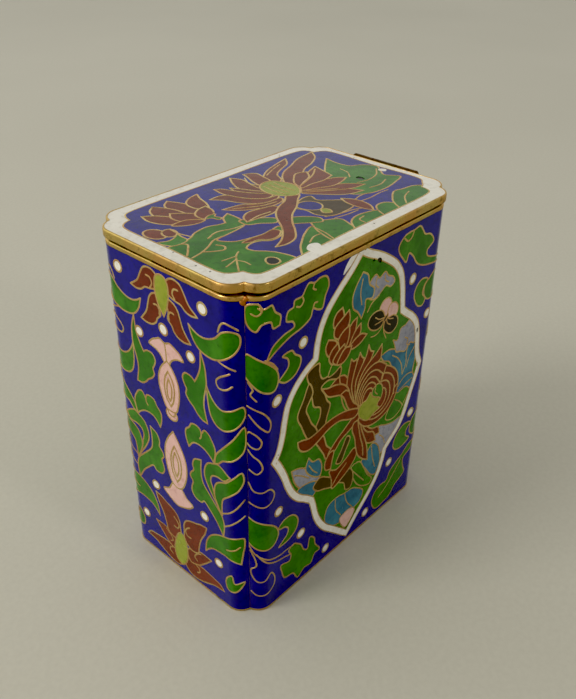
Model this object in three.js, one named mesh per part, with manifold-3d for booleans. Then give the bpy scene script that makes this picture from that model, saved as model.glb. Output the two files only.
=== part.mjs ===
// Small cloisonne enamel box with a hinged lid.
// Units are millimetres, +Z is up, and the origin is the centre of the underside.
// The long faces look along -Y (the front) and +Y, the short faces along -X and +X,
// and the hinge runs along the top of the +X face.

import * as THREE from 'three';
import { mergeVertices } from 'three/addons/utils/BufferGeometryUtils.js';
import Module from 'manifold-3d';

const wasm = await Module();
wasm.setup();

// Driving dimensions
const HEIGHT = 76;              // underside to the top of the lid
const LENGTH = 60;              // body, along X
const WIDTH = 39;               // body, along Y
const WALL = 1.6;               // copper with enamel on both sides
const FLOOR = 1.6;
const LOBE_RADIUS = 3.6;        // each corner is two round lobes with a cusp between them
const BODY_LOBE_INSET = 6.0;    // from the corner to where the lobes leave the straight sides
const LID_LOBE_INSET = 6.5;     // the lid's cusps are a little deeper than the body's
const LOBE_STEPS = 9;
const CUSP_STEPS = 4;

const LID_THICKNESS = 1.7;      // height of the brass band round the lid
const LID_OVERHANG = 0.4;       // the lid band stands this far outside the body
const LID_BAND_WALL = 0.6;
const PANEL_TOP_RECESS = 0.05;  // enamel below the top edge of the band
const PANEL_UNDER_RECESS = 0.3; // plate above the lower edge of the band
const PANEL_FIT = 0.02;         // clearance between plate and band

const LID_GAP = 0.3;            // the closed lid stands this far off the rim
const RIM_HEIGHT = 1.2;
const RIM_WALL = 1.9;           // the rim is a little wider than the wall, inwards

const HINGE_LENGTH = 16;
const LID_KNUCKLE_LENGTH = 6;
const KNUCKLE_GAP = 0.15;       // end play between neighbouring knuckles
const BARREL_RADIUS = 1.4;
const BARREL_CLEARANCE = 0.15;  // from the barrel to the lid band
const PIN_RADIUS = 0.55;
const PIN_FIT = 0.03;           // radial, in the knuckles that hold the pin
const PIN_RUNNING_FIT = 0.07;   // radial, in the knuckle that turns on it
const PIN_OVERHANG = 0.25;      // pin end past the outer knuckles
const SEAT_DROP = 1.2;          // from the hinge axis down to the seat under the barrel
const SEAT_THICKNESS = 1.0;
const WEB_DROP = 0.6;           // from the hinge axis down to the top of the web
const LEAF_RISE = 0.2;          // from the hinge axis up to the lid leaf
const LEAF_THICKNESS = 0.95;
const BARREL_SIDES = 24;

// Heights and places that follow from them
const lidBottom = HEIGHT - LID_THICKNESS;
const rimTop = lidBottom - LID_GAP;
const rimBottom = rimTop - RIM_HEIGHT;
const lidRear = LENGTH / 2 + LID_OVERHANG;
const bodyRear = LENGTH / 2;
const axisX = lidRear + BARREL_CLEARANCE + BARREL_RADIUS;
const axisZ = lidBottom;
const bodyPlan = { halfX: LENGTH / 2, halfY: WIDTH / 2, lobeInset: BODY_LOBE_INSET };
const lidPlan = {
  halfX: LENGTH / 2 + LID_OVERHANG,
  halfY: WIDTH / 2 + LID_OVERHANG,
  lobeInset: LID_LOBE_INSET,
};

// Plan outline of the body or the lid, moved inwards by `inset`. Each corner is an arc, a
// cusp and a second arc. Moved inwards, the cusp becomes a round of that radius about it,
// so that a wall between two of these outlines is equally thick all the way round.
function outline(plan, inset = 0) {
  const radius = LOBE_RADIUS - inset;
  const halfGap = (plan.lobeInset - LOBE_RADIUS) / Math.SQRT2;
  const lobeA = new THREE.Vector2(plan.halfX - LOBE_RADIUS, plan.halfY - plan.lobeInset);
  const lobeB = new THREE.Vector2(plan.halfX - plan.lobeInset, plan.halfY - LOBE_RADIUS);
  const middle = lobeA.clone().add(lobeB).multiplyScalar(0.5);
  const cusp = middle.addScalar(Math.sqrt((LOBE_RADIUS ** 2 - halfGap ** 2) / 2));
  const toCusp = cusp.clone().sub(lobeA).angle();
  const corner = [];
  for (let i = 0; i <= LOBE_STEPS; i++) {
    corner.push(onCircle(lobeA, radius, toCusp * i / LOBE_STEPS));
  }
  for (let i = 1; inset > 0 && i < CUSP_STEPS; i++) {
    const turn = (Math.PI / 2 - 2 * toCusp) * i / CUSP_STEPS;
    corner.push(onCircle(cusp, inset, toCusp + Math.PI + turn));
  }
  for (let i = inset > 0 ? 0 : 1; i <= LOBE_STEPS; i++) {
    corner.push(onCircle(lobeB, radius, Math.PI / 2 - toCusp + toCusp * i / LOBE_STEPS));
  }
  const flip = (x, y) => corner.map((p) => new THREE.Vector2(p.x * x, p.y * y));
  return [...flip(1, 1), ...flip(-1, 1).reverse(), ...flip(-1, -1), ...flip(1, -1).reverse()];
}

function onCircle(centre, radius, angle) {
  return new THREE.Vector2(
    centre.x + radius * Math.cos(angle),
    centre.y + radius * Math.sin(angle),
  );
}

// A flat shape raised from z = low to z = high, with an optional opening right through it.
function raised(outer, low, high, inner = null) {
  const shape = new THREE.Shape(outer);
  if (inner) {
    shape.holes.push(new THREE.Path(inner));
  }
  const geometry = new THREE.ExtrudeGeometry(shape, { depth: high - low, bevelEnabled: false });
  return geometry.translate(0, 0, low);
}

// A box from its two opposite corners.
function block(low, high) {
  const size = high.clone().sub(low);
  const centre = high.clone().add(low).multiplyScalar(0.5);
  return new THREE.BoxGeometry(size.x, size.y, size.z).translate(centre.x, centre.y, centre.z);
}

// A rod along Y on the hinge axis.
function rod(radius, y0, y1) {
  const geometry = new THREE.CylinderGeometry(radius, radius, y1 - y0, BARREL_SIDES);
  return geometry.translate(axisX, (y0 + y1) / 2, 0).translate(0, 0, axisZ);
}

function toSolid(geometry) {
  const plain = geometry.clone();
  plain.deleteAttribute('normal');
  plain.deleteAttribute('uv');
  const merged = mergeVertices(plain, 1e-4);
  return new wasm.Manifold(new wasm.Mesh({
    numProp: 3,
    vertProperties: Float32Array.from(merged.attributes.position.array),
    triVerts: Uint32Array.from(merged.index.array),
  }));
}

function toGeometry(solid) {
  const mesh = solid.getMesh();
  const geometry = new THREE.BufferGeometry();
  geometry.setAttribute('position', new THREE.Float32BufferAttribute(mesh.vertProperties, 3));
  geometry.setIndex(new THREE.Uint32BufferAttribute(mesh.triVerts, 1));
  geometry.computeVertexNormals();
  return geometry;
}

// The body: one closed wall standing on its floor, open at the top.
function bodyGeometry() {
  const full = toSolid(raised(outline(bodyPlan), 0, rimBottom));
  const hollow = toSolid(raised(outline(bodyPlan, WALL), FLOOR, rimBottom + 1));
  return toGeometry(full.subtract(hollow));
}

// A knuckle soldered to the rim: a barrel, the web that carries it and the seat below,
// whose far edge stops the lid when it has turned right back.
function bodyKnuckle(y0, y1) {
  const barrel = toSolid(rod(BARREL_RADIUS, y0, y1));
  const web = toSolid(block(
    new THREE.Vector3(bodyRear, y0, axisZ - SEAT_DROP - 0.2),
    new THREE.Vector3(axisX, y1, axisZ - WEB_DROP),
  ));
  const seat = toSolid(block(
    new THREE.Vector3(bodyRear, y0, axisZ - SEAT_DROP - SEAT_THICKNESS),
    new THREE.Vector3(axisX + BARREL_RADIUS + 0.05, y1, axisZ - SEAT_DROP),
  ));
  const bore = toSolid(rod(PIN_RADIUS + PIN_FIT, y0 - 1, y1 + 1));
  return toGeometry(barrel.add(web).add(seat).subtract(bore));
}

// The knuckle soldered to the lid band: a barrel and the leaf that carries it.
function lidKnuckle(y0, y1) {
  const barrel = toSolid(rod(BARREL_RADIUS, y0, y1));
  const leaf = toSolid(block(
    new THREE.Vector3(lidRear, y0, axisZ + LEAF_RISE),
    new THREE.Vector3(axisX, y1, axisZ + LEAF_RISE + LEAF_THICKNESS),
  ));
  const bore = toSolid(rod(PIN_RADIUS + PIN_RUNNING_FIT, y0 - 1, y1 + 1));
  return toGeometry(barrel.add(leaf).subtract(bore));
}

function piece(name, geometry, material) {
  const mesh = new THREE.Mesh(geometry, material);
  mesh.name = name;
  return mesh;
}

const enamel = new THREE.MeshStandardMaterial({ color: 0x10166e, roughness: 0.12, metalness: 0 });
const gilt = new THREE.MeshStandardMaterial({ color: 0xa98746, roughness: 0.35, metalness: 1 });
const darkBrass = new THREE.MeshStandardMaterial({ color: 0x4a3a22, roughness: 0.5, metalness: 1 });

const box = new THREE.Group();
box.add(piece('body', bodyGeometry(), enamel));
box.add(piece('mouth_rim', raised(
  outline(bodyPlan),
  rimBottom,
  rimTop,
  outline(bodyPlan, RIM_WALL),
), gilt));

const lid = new THREE.Group();
lid.add(piece('lid_panel', raised(
  outline(lidPlan, LID_BAND_WALL + PANEL_FIT),
  lidBottom + PANEL_UNDER_RECESS,
  HEIGHT - PANEL_TOP_RECESS,
), enamel));
lid.add(piece('lid_band', raised(
  outline(lidPlan),
  lidBottom,
  HEIGHT,
  outline(lidPlan, LID_BAND_WALL),
), gilt));

const middleHalf = LID_KNUCKLE_LENGTH / 2;
const outerStart = middleHalf + KNUCKLE_GAP;
const outerEnd = HINGE_LENGTH / 2;
box.add(piece('hinge_knuckle_front', bodyKnuckle(-outerEnd, -outerStart), darkBrass));
box.add(piece('hinge_knuckle_back', bodyKnuckle(outerStart, outerEnd), darkBrass));
lid.add(piece('hinge_knuckle_lid', lidKnuckle(-middleHalf, middleHalf), darkBrass));
box.add(piece(
  'hinge_pin',
  rod(PIN_RADIUS, -outerEnd - PIN_OVERHANG, outerEnd + PIN_OVERHANG),
  darkBrass,
));

const cloisonneBox = new THREE.Group();
cloisonneBox.add(box, lid);

export default cloisonneBox;
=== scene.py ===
"""Looks of the cloisonne enamel box: enamel cells, gilt wires, metalwork, light and camera.

Shapes are written in millimetres in the part's frame and scaled to metres with each mesh.
Every wall is drawn flat in (u, z), u to the right as seen from outside, and the lid in (x, y).
A drawing is a stack of cells, each bordered by a wire, and later cells cover earlier ones.
"""

import math
import random

import bmesh
import bpy
import numpy as np
from mathutils import Matrix, Vector
from mathutils.geometry import delaunay_2d_cdt


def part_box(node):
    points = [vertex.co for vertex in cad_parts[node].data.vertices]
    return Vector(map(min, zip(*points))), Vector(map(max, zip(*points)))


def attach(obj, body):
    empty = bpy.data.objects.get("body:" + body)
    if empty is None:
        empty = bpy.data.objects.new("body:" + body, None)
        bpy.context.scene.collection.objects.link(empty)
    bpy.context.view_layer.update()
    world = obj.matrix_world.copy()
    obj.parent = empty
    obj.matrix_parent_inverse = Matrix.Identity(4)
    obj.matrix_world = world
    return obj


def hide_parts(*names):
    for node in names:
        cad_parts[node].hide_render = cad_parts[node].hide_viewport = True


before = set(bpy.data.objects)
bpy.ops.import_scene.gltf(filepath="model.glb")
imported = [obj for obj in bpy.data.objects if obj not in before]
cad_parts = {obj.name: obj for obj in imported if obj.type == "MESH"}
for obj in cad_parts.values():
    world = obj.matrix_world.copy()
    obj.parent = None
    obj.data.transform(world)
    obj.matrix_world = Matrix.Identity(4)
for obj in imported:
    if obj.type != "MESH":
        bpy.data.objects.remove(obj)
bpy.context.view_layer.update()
rng = random.Random(7)
MM = 0.001


def size_mm(node):
    low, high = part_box(node)
    return [v / MM for v in low], [v / MM for v in high]


# Sizes that come from the CAD nodes, in mm
body_high = size_mm("body")[1]
rim_high = size_mm("mouth_rim")[1]
band_low, band_high = size_mm("lid_band")
HALF_X = body_high[0]
HALF_Y = body_high[1]
LID_HALF_X = band_high[0]
LID_HALF_Y = band_high[1]
WALL_TOP = body_high[2]
RIM_TOP = rim_high[2]
LID_BOTTOM = band_low[2]
LID_TOP = band_high[2]

# Plan of the corners and thicknesses, as in the CAD source
LOBE = 3.6
BODY = {"hx": HALF_X, "hy": HALF_Y, "inset": 6.0}
LID = {"hx": LID_HALF_X, "hy": LID_HALF_Y, "inset": 6.5}
WALL = 1.6
FLOOR = 1.6
RIM_WALL = 1.9

# Enamel and wires
WIRE = 0.36          # width of a wire
FINE = 0.32          # finer wires, down to the butterfly's veins
VEIN = 0.3
HAIR = 0.26
CURL = 0.34          # open curls and small leaves
TASSEL = 0.42        # the inner outlines of the tassels
RING = 0.38          # round a white dot
NO_WIRE = 0          # a cell of colour alone
STEP = 0.42          # spacing of points along a wire
JITTER = 0.0         # random shift of a drawn point; the draws are made at 0 too
COLUMN = 0.5         # spacing of points round a lobe
DROP = 0.055         # enamel lies this far under the CAD surface
PROUD = 0.05         # wires stand this far over the enamel on flat ground
PROUD_LOBE = 0.13    # and this far where the wall turns round a lobe
DEPTH = 0.5          # thickness of the enamel coat
FOOT = 0.5           # height of the bare gilt edge along the bottom
PIT_DEPTH = 0.12     # depth of a popped bubble in the enamel
CUSP = 0.02          # radius at the bottom of a corner groove
MERGE = 0.002        # points of a drawing that are closer than this become one
LEAST_AREA = 1e-7    # smaller triangles are dropped
CHUNK = 4096         # points handled at once in the geometry below


# ---------------------------------------------------------------- plan outlines and lofts

def lobe_data(plan):
    a = np.array([plan["hx"] - LOBE, plan["hy"] - plan["inset"]])
    b = np.array([plan["hx"] - plan["inset"], plan["hy"] - LOBE])
    half = np.linalg.norm(b - a) / 2
    reach = math.sqrt(LOBE**2 - half**2)
    cusp = (a + b) / 2 + reach * math.sqrt(0.5)
    angle = math.atan2(cusp[1] - a[1], cusp[0] - a[0])
    return a, b, cusp, angle


def outline(plan, inset=0.0, lobe_steps=14, cusp_steps=7):
    """The plan outline moved inwards by inset, anticlockwise. The count of points is fixed."""
    a, b, cusp, turn = lobe_data(plan)
    r = LOBE - inset
    nick = max(inset, CUSP)
    corner = []
    for i in range(lobe_steps + 1):
        t = turn * i / lobe_steps
        corner.append(a + r * np.array([math.cos(t), math.sin(t)]))
    for i in range(1, cusp_steps):
        t = turn + math.pi + (math.pi / 2 - 2 * turn) * i / cusp_steps
        corner.append(cusp + nick * np.array([math.cos(t), math.sin(t)]))
    for i in range(lobe_steps + 1):
        t = math.pi / 2 - turn + turn * i / lobe_steps
        corner.append(b + r * np.array([math.cos(t), math.sin(t)]))
    corner = np.array(corner)
    parts = [corner, corner[::-1] * (-1, 1), corner * (-1, -1), corner[::-1] * (1, -1)]
    return np.concatenate(parts)


def new_object(name, mesh, material):
    mesh.materials.append(material)
    obj = bpy.data.objects.new(name, mesh)
    bpy.context.scene.collection.objects.link(obj)
    return obj


def enlist(obj, body, slot, *nodes):
    """Makes the piece ride a body and hides the CAD nodes it stands for. The slot is not used."""
    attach(obj, body)
    if nodes:
        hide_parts(*nodes)


def crease(mesh, degrees):
    """Smooth shading with sharp edges above an angle."""
    bm = bmesh.new()
    bm.from_mesh(mesh)
    bmesh.ops.recalc_face_normals(bm, faces=bm.faces)
    for f in bm.faces:
        f.smooth = True
    for e in bm.edges:
        e.smooth = len(e.link_faces) == 2 and e.calc_face_angle(0) < math.radians(degrees)
    bm.to_mesh(mesh)
    bm.free()


def weighted(obj):
    mod = obj.modifiers.new("normals", "WEIGHTED_NORMAL")
    mod.keep_sharp = True
    mod.weight = 80
    return obj


def loft(name, plan, profile, material, closed=False, wobble=None, degrees=40):
    """Rings of the plan outline at (inset, z), joined into a tube. A closed profile makes a ring,
    an open one is capped at both ends. wobble(points, k) may move the points of a ring."""
    rings = []
    for k, (inset, z) in enumerate(profile):
        flat = outline(plan, inset)
        ring = np.column_stack([flat, np.full(len(flat), z)])
        rings.append(wobble(ring, k) if wobble else ring)
    n = len(rings[0])
    verts = np.concatenate(rings) * MM
    faces = []
    count = len(rings)
    for k in range(count if closed else count - 1):
        lo, hi = k * n, ((k + 1) % count) * n
        for i in range(n):
            j = (i + 1) % n
            faces.append((lo + i, lo + j, hi + j, hi + i))
    if not closed:
        faces.append(tuple(range(n))[::-1])
        faces.append(tuple(range((count - 1) * n, count * n)))
    mesh = bpy.data.meshes.new(name)
    mesh.from_pydata([tuple(v) for v in verts], [], faces)
    crease(mesh, degrees)
    return weighted(new_object(name, mesh, material))


# ---------------------------------------------------------------- curves

def spline(points, closed=True, step=STEP):
    """Smooth curve through the points. A third value marks a sharp corner."""
    pts = [np.array(p[:2], float) for p in points]
    sharp = [len(p) > 2 for p in points]
    n = len(pts)
    out = []
    for i in range(n if closed else n - 1):
        j = (i + 1) % n
        p1, p2 = pts[i], pts[j]
        has0 = (closed or i > 0) and not sharp[i]
        has3 = (closed or i + 2 < n) and not sharp[j]
        p0 = pts[i - 1] if has0 else 2 * p1 - p2
        p3 = pts[(i + 2) % n] if has3 else 2 * p2 - p1
        d01, d12, d23 = (max(np.linalg.norm(q - p), 1e-4) ** 0.5
                         for p, q in ((p0, p1), (p1, p2), (p2, p3)))
        m1 = d12 * ((p1 - p0) / d01 - (p2 - p0) / (d01 + d12) + (p2 - p1) / d12)
        m2 = d12 * ((p2 - p1) / d12 - (p3 - p1) / (d12 + d23) + (p3 - p2) / d23)
        steps = max(1, round(np.linalg.norm(p2 - p1) / step))
        t = np.arange(steps)[:, None] / steps
        out.append((2 * t**3 - 3 * t**2 + 1) * p1 + (t**3 - 2 * t**2 + t) * m1
                   + (3 * t**2 - 2 * t**3) * p2 + (t**3 - t**2) * m2)
    if not closed:
        out.append(pts[-1][None])
    return np.concatenate(out)


def anticlockwise(poly):
    x, y = poly.T
    area = (x * np.roll(y, -1) - np.roll(x, -1) * y).sum()
    return poly if area > 0 else poly[::-1]


def offset(poly, dist, closed=True, mitre=1.6):
    """The curve moved to its left by dist."""
    n = len(poly)
    out = []
    for i in range(n):
        back = poly[i] - poly[i - 1] if closed or i > 0 else poly[1] - poly[0]
        ahead = poly[(i + 1) % n] - poly[i] if closed or i < n - 1 else poly[-1] - poly[-2]
        back = back / max(np.hypot(*back), 1e-9)
        ahead = ahead / max(np.hypot(*ahead), 1e-9)
        na, nb = np.array([-back[1], back[0]]), np.array([-ahead[1], ahead[0]])
        cos = float(na @ nb)
        half = math.sqrt(max((1 + cos) / 2, 0))
        if half > 0.94:
            out.append(poly[i] + dist * (na + nb) / (1 + cos))
        elif dist * (back[0] * ahead[1] - back[1] * ahead[0]) < 0:
            mid = na + nb
            mid = mid / np.hypot(*mid) if np.hypot(*mid) > 1e-6 else back
            reach = min(1 / max(half, 1e-3), mitre)
            if reach >= 1 / max(half, 1e-3):
                out.append(poly[i] + dist * mid * reach)
            else:
                out.append(poly[i] + dist * na)
                out.append(poly[i] + dist * mid * (1 + reach) / 2)
                out.append(poly[i] + dist * nb)
        else:
            out.append(poly[i] + dist * na)
            out.append(poly[i] + dist * nb)
    return np.array(out)


def winding(px, py, poly):
    """Winding number of the closed curve about each point."""
    total = np.zeros(len(px), int)
    x1, y1 = poly[:, :1], poly[:, 1:]
    nxt = np.roll(poly, -1, axis=0)
    x2, y2 = nxt[:, :1], nxt[:, 1:]
    for s in range(0, len(px), CHUNK):
        x, y = px[s:s + CHUNK], py[s:s + CHUNK]
        side = (x2 - x1) * (y - y1) - (x - x1) * (y2 - y1)
        up = (y1 <= y) & (y2 > y) & (side > 0)
        down = (y1 > y) & (y2 <= y) & (side < 0)
        total[s:s + CHUNK] = up.sum(0) - down.sum(0)
    return total


def distance(points, line, closed):
    """Distance from each point to a curve."""
    a = line
    b = np.roll(line, -1, axis=0)
    if not closed:
        a, b = a[:-1], b[:-1]
    d = b - a
    best = np.full(len(points), 1e9)
    length2 = np.maximum((d**2).sum(1), 1e-12)
    for s in range(0, len(points), CHUNK):
        p = points[s:s + CHUNK]
        rel = p[:, None] - a[None]
        t = np.clip((rel * d).sum(2) / length2, 0, 1)
        gap = rel - t[..., None] * d
        best[s:s + CHUNK] = np.sqrt((gap**2).sum(2)).min(1)
    return best


# ---------------------------------------------------------------- drawings of cells

class Panel:
    """A flat drawing of enamel cells and how it lies on the object.

    place(uv) gives the point on the CAD surface, the normal there and the wire height."""

    def __init__(self, name, domain, ground, place, columns=()):
        self.name = name
        self.domain = domain
        self.ground = ground
        self.place = place
        self.columns = columns
        self.items = []

    def cell(self, colour, curve, width=WIRE, hole=None):
        curve = anticlockwise(np.asarray(curve))
        item = {"colour": colour, "width": width, "lines": [(curve, True)]}
        item["out"] = offset(curve, -width / 2) if width else curve
        item["in"] = offset(curve, width / 2) if width else curve
        if hole is not None:
            hole = anticlockwise(np.asarray(hole))
            item["lines"].append((hole, True))
            item["hole_out"] = offset(hole, -width / 2) if width else hole
            item["hole_in"] = offset(hole, width / 2) if width else hole
        self.items.append(item)

    def wire(self, curve, width=WIRE):
        curve = np.asarray(curve)
        left, right = offset(curve, width / 2, False), offset(curve, -width / 2, False)
        head = curve[-1] + (curve[-1] - curve[-2]) / np.hypot(*(curve[-1] - curve[-2])) * width / 2
        tail = curve[0] + (curve[0] - curve[1]) / np.hypot(*(curve[0] - curve[1])) * width / 2
        stroke = np.concatenate([right, head[None], left[::-1], tail[None]])
        self.items.append({"colour": None, "width": width, "lines": [(curve, False)],
                           "stroke": stroke})

    def mesh(self):
        """Triangulates the drawing: vertices, triangles, the colour of each and wire heights."""
        verts, edges = [], []

        def add(curve, closed=True):
            start = len(verts)
            verts.extend(Vector((float(x), float(y))) for x, y in curve)
            last = len(curve) if closed else len(curve) - 1
            edges.extend((start + i, start + (i + 1) % len(curve)) for i in range(last))

        add(self.domain)
        lo, hi = self.domain.min(0), self.domain.max(0)
        for u in self.columns:
            add(np.array([[u, lo[1]], [u, hi[1]]]), False)
        for item in self.items:
            for key in ("out", "in", "hole_out", "hole_in", "stroke"):
                if key in item and not (key == "in" and not item["width"]):
                    add(item[key])
            if item["width"]:
                for line, closed in item["lines"]:
                    add(line, closed)
        got = delaunay_2d_cdt(verts, edges, [], 0, MERGE, False)
        pts = np.array([tuple(v) for v in got[0]])
        tris = np.array(got[2])
        mid = pts[tris].mean(1)
        px, py = mid.T
        inside = winding(px, py, self.domain) != 0
        p, q, r = pts[tris[:, 0]], pts[tris[:, 1]], pts[tris[:, 2]]
        area = (q - p)[:, 0] * (r - p)[:, 1] - (q - p)[:, 1] * (r - p)[:, 0]
        keep = inside & (np.abs(area) > LEAST_AREA)
        tris, px, py, area = tris[keep], px[keep], py[keep], area[keep]
        flip = area < 0
        tris[flip] = tris[flip][:, ::-1]
        colour = np.full(len(tris), self.ground, object)
        owner = np.full(len(tris), -1)
        for k, item in enumerate(self.items):
            frame_curve = item.get("out", item.get("stroke"))
            lo, hi = frame_curve.min(0), frame_curve.max(0)
            near = np.nonzero((px > lo[0]) & (px < hi[0]) & (py > lo[1]) & (py < hi[1]))[0]
            if not len(near):
                continue
            x, y = px[near], py[near]
            if "stroke" in item:
                hit = near[winding(x, y, item["stroke"]) != 0]
                colour[hit], owner[hit] = "wire", k
                continue
            whole = winding(x, y, item["out"]) > 0
            fill = winding(x, y, item["in"]) > 0
            if "hole_out" in item:
                whole &= ~(winding(x, y, item["hole_in"]) > 0)
                fill &= ~(winding(x, y, item["hole_out"]) > 0)
            colour[near[whole]], owner[near[whole]] = "wire", k
            colour[near[whole & fill]] = item["colour"]
        height = np.zeros(len(pts))
        for k in np.unique(owner[(owner >= 0) & (colour == "wire")]):
            item = self.items[k]
            ids = np.unique(tris[(owner == k) & (colour == "wire")])
            gap = np.min([distance(pts[ids], line, closed) for line, closed in item["lines"]], 0)
            crest = np.clip(1 - (2 * gap / max(item["width"], 1e-6)) ** 2, 0, 1)
            height[ids] = np.maximum(height[ids], crest)
        return pts, tris, colour, height


def mesh_from(name, verts, faces, normals):
    mesh = bpy.data.meshes.new(name)
    mesh.vertices.add(len(verts))
    mesh.vertices.foreach_set("co", np.ascontiguousarray(verts * MM, np.float32).ravel())
    mesh.loops.add(faces.size)
    mesh.loops.foreach_set("vertex_index", faces.ravel().astype(np.int32))
    mesh.polygons.add(len(faces))
    mesh.polygons.foreach_set("loop_start", np.arange(0, faces.size, 3, dtype=np.int32))
    mesh.update(calc_edges=True)
    mesh.polygons.foreach_set("use_smooth", np.ones(len(faces), bool))
    mesh.normals_split_custom_set(normals.reshape(-1, 3).tolist())
    return mesh


def coat(panels, colours, sink):
    """Vertices, triangles and corner normals of every cell of those colours, as closed solids."""
    all_v, all_f, all_n = [], [], []
    base = 0
    for panel in panels:
        pts, tris, colour, height = panel.made
        pick = np.isin(colour, list(colours))
        if not pick.any():
            continue
        tris = tris[pick]
        ids, tris = np.unique(tris, return_inverse=True)
        tris = tris.reshape(-1, 3)
        uv = pts[ids]
        surface, normal, proud = panel.place(uv)
        raise_by = height[ids] * proud if "wire" in colours else np.full(len(ids), -sink)
        top = surface + normal * (raise_by - DROP)[:, None]
        bottom = surface - normal * DEPTH
        n = len(ids)
        directed = np.concatenate([tris[:, [0, 1]], tris[:, [1, 2]], tris[:, [2, 0]]])
        code = directed[:, 0] * n + directed[:, 1]
        back = directed[:, 1] * n + directed[:, 0]
        rim = directed[~np.isin(code, back)]
        a, b = rim.T
        sides = np.concatenate([np.column_stack([b, a, a + n]),
                                np.column_stack([b, a + n, b + n])])
        verts = np.concatenate([top, bottom])
        faces = np.concatenate([tris, sides, tris[:, ::-1] + n])
        if "wire" in colours:
            p, q, r = top[tris[:, 0]], top[tris[:, 1]], top[tris[:, 2]]
            face_n = np.cross(q - p, r - p)
            vert_n = np.zeros_like(top)
            for c in range(3):
                np.add.at(vert_n, tris[:, c], face_n)
            vert_n /= np.maximum(np.linalg.norm(vert_n, axis=1), 1e-12)[:, None]
        else:
            vert_n = normal
        p, q, r = (verts[sides[:, c]] for c in range(3))
        side_n = np.cross(q - p, r - p)
        side_n /= np.maximum(np.linalg.norm(side_n, axis=1), 1e-12)[:, None]
        corner_n = np.concatenate([vert_n[tris], np.repeat(side_n[:, None], 3, 1),
                                   -normal[tris[:, ::-1]]])
        all_v.append(verts)
        all_f.append(faces + base)
        all_n.append(corner_n)
        base += len(verts)
    if not all_v:
        return None
    return np.concatenate(all_v), np.concatenate(all_f), np.concatenate(all_n)


def enamel_piece(name, panels, colours, material, body, slot, sink=0.0):
    made = coat(panels, colours, sink)
    if made is None:
        return
    enlist(new_object(name, mesh_from(name, *made), material), body, slot)


class Pen:
    """Draws on a panel, mirrored or not."""

    def __init__(self, panel, mirror=False):
        self.panel = panel
        self.mirror = mirror

    def at(self, points):
        moved = []
        for u, v, *sharp in points:
            u += rng.uniform(-1, 1) * JITTER
            v += rng.uniform(-1, 1) * JITTER
            moved.append((-u if self.mirror else u, v, *sharp))
        return moved

    def flipped(self):
        return Pen(self.panel, not self.mirror)

    def cell(self, colour, points, width=WIRE, step=STEP):
        self.panel.cell(colour, spline(self.at(points), True, step), width)

    def wire(self, points, width=WIRE):
        self.panel.wire(spline(self.at(points), False), width)

    def oval(self, colour, u, v, ru, rv=None, tilt=0.0, width=WIRE):
        rv = ru if rv is None else rv
        count = max(10, int(2 * math.pi * max(ru, rv) / STEP))
        pts = []
        for i in range(count):
            t = 2 * math.pi * i / count
            x, y = ru * math.cos(t), rv * math.sin(t)
            pts.append((u + x * math.cos(tilt) - y * math.sin(tilt),
                        v + x * math.sin(tilt) + y * math.cos(tilt)))
        self.panel.cell(colour, np.array([p[:2] for p in self.at(pts)]), width)

    def dot(self, u, v, r=1.05):
        """A white dot in a round cell."""
        self.oval("white", u, v, r * rng.uniform(0.95, 1.05), r * rng.uniform(0.95, 1.08),
                  rng.uniform(0, 3), RING)


# ---------------------------------------------------------------- the short walls

def both(pen, draw):
    draw(pen)
    draw(pen.flipped())


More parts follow.
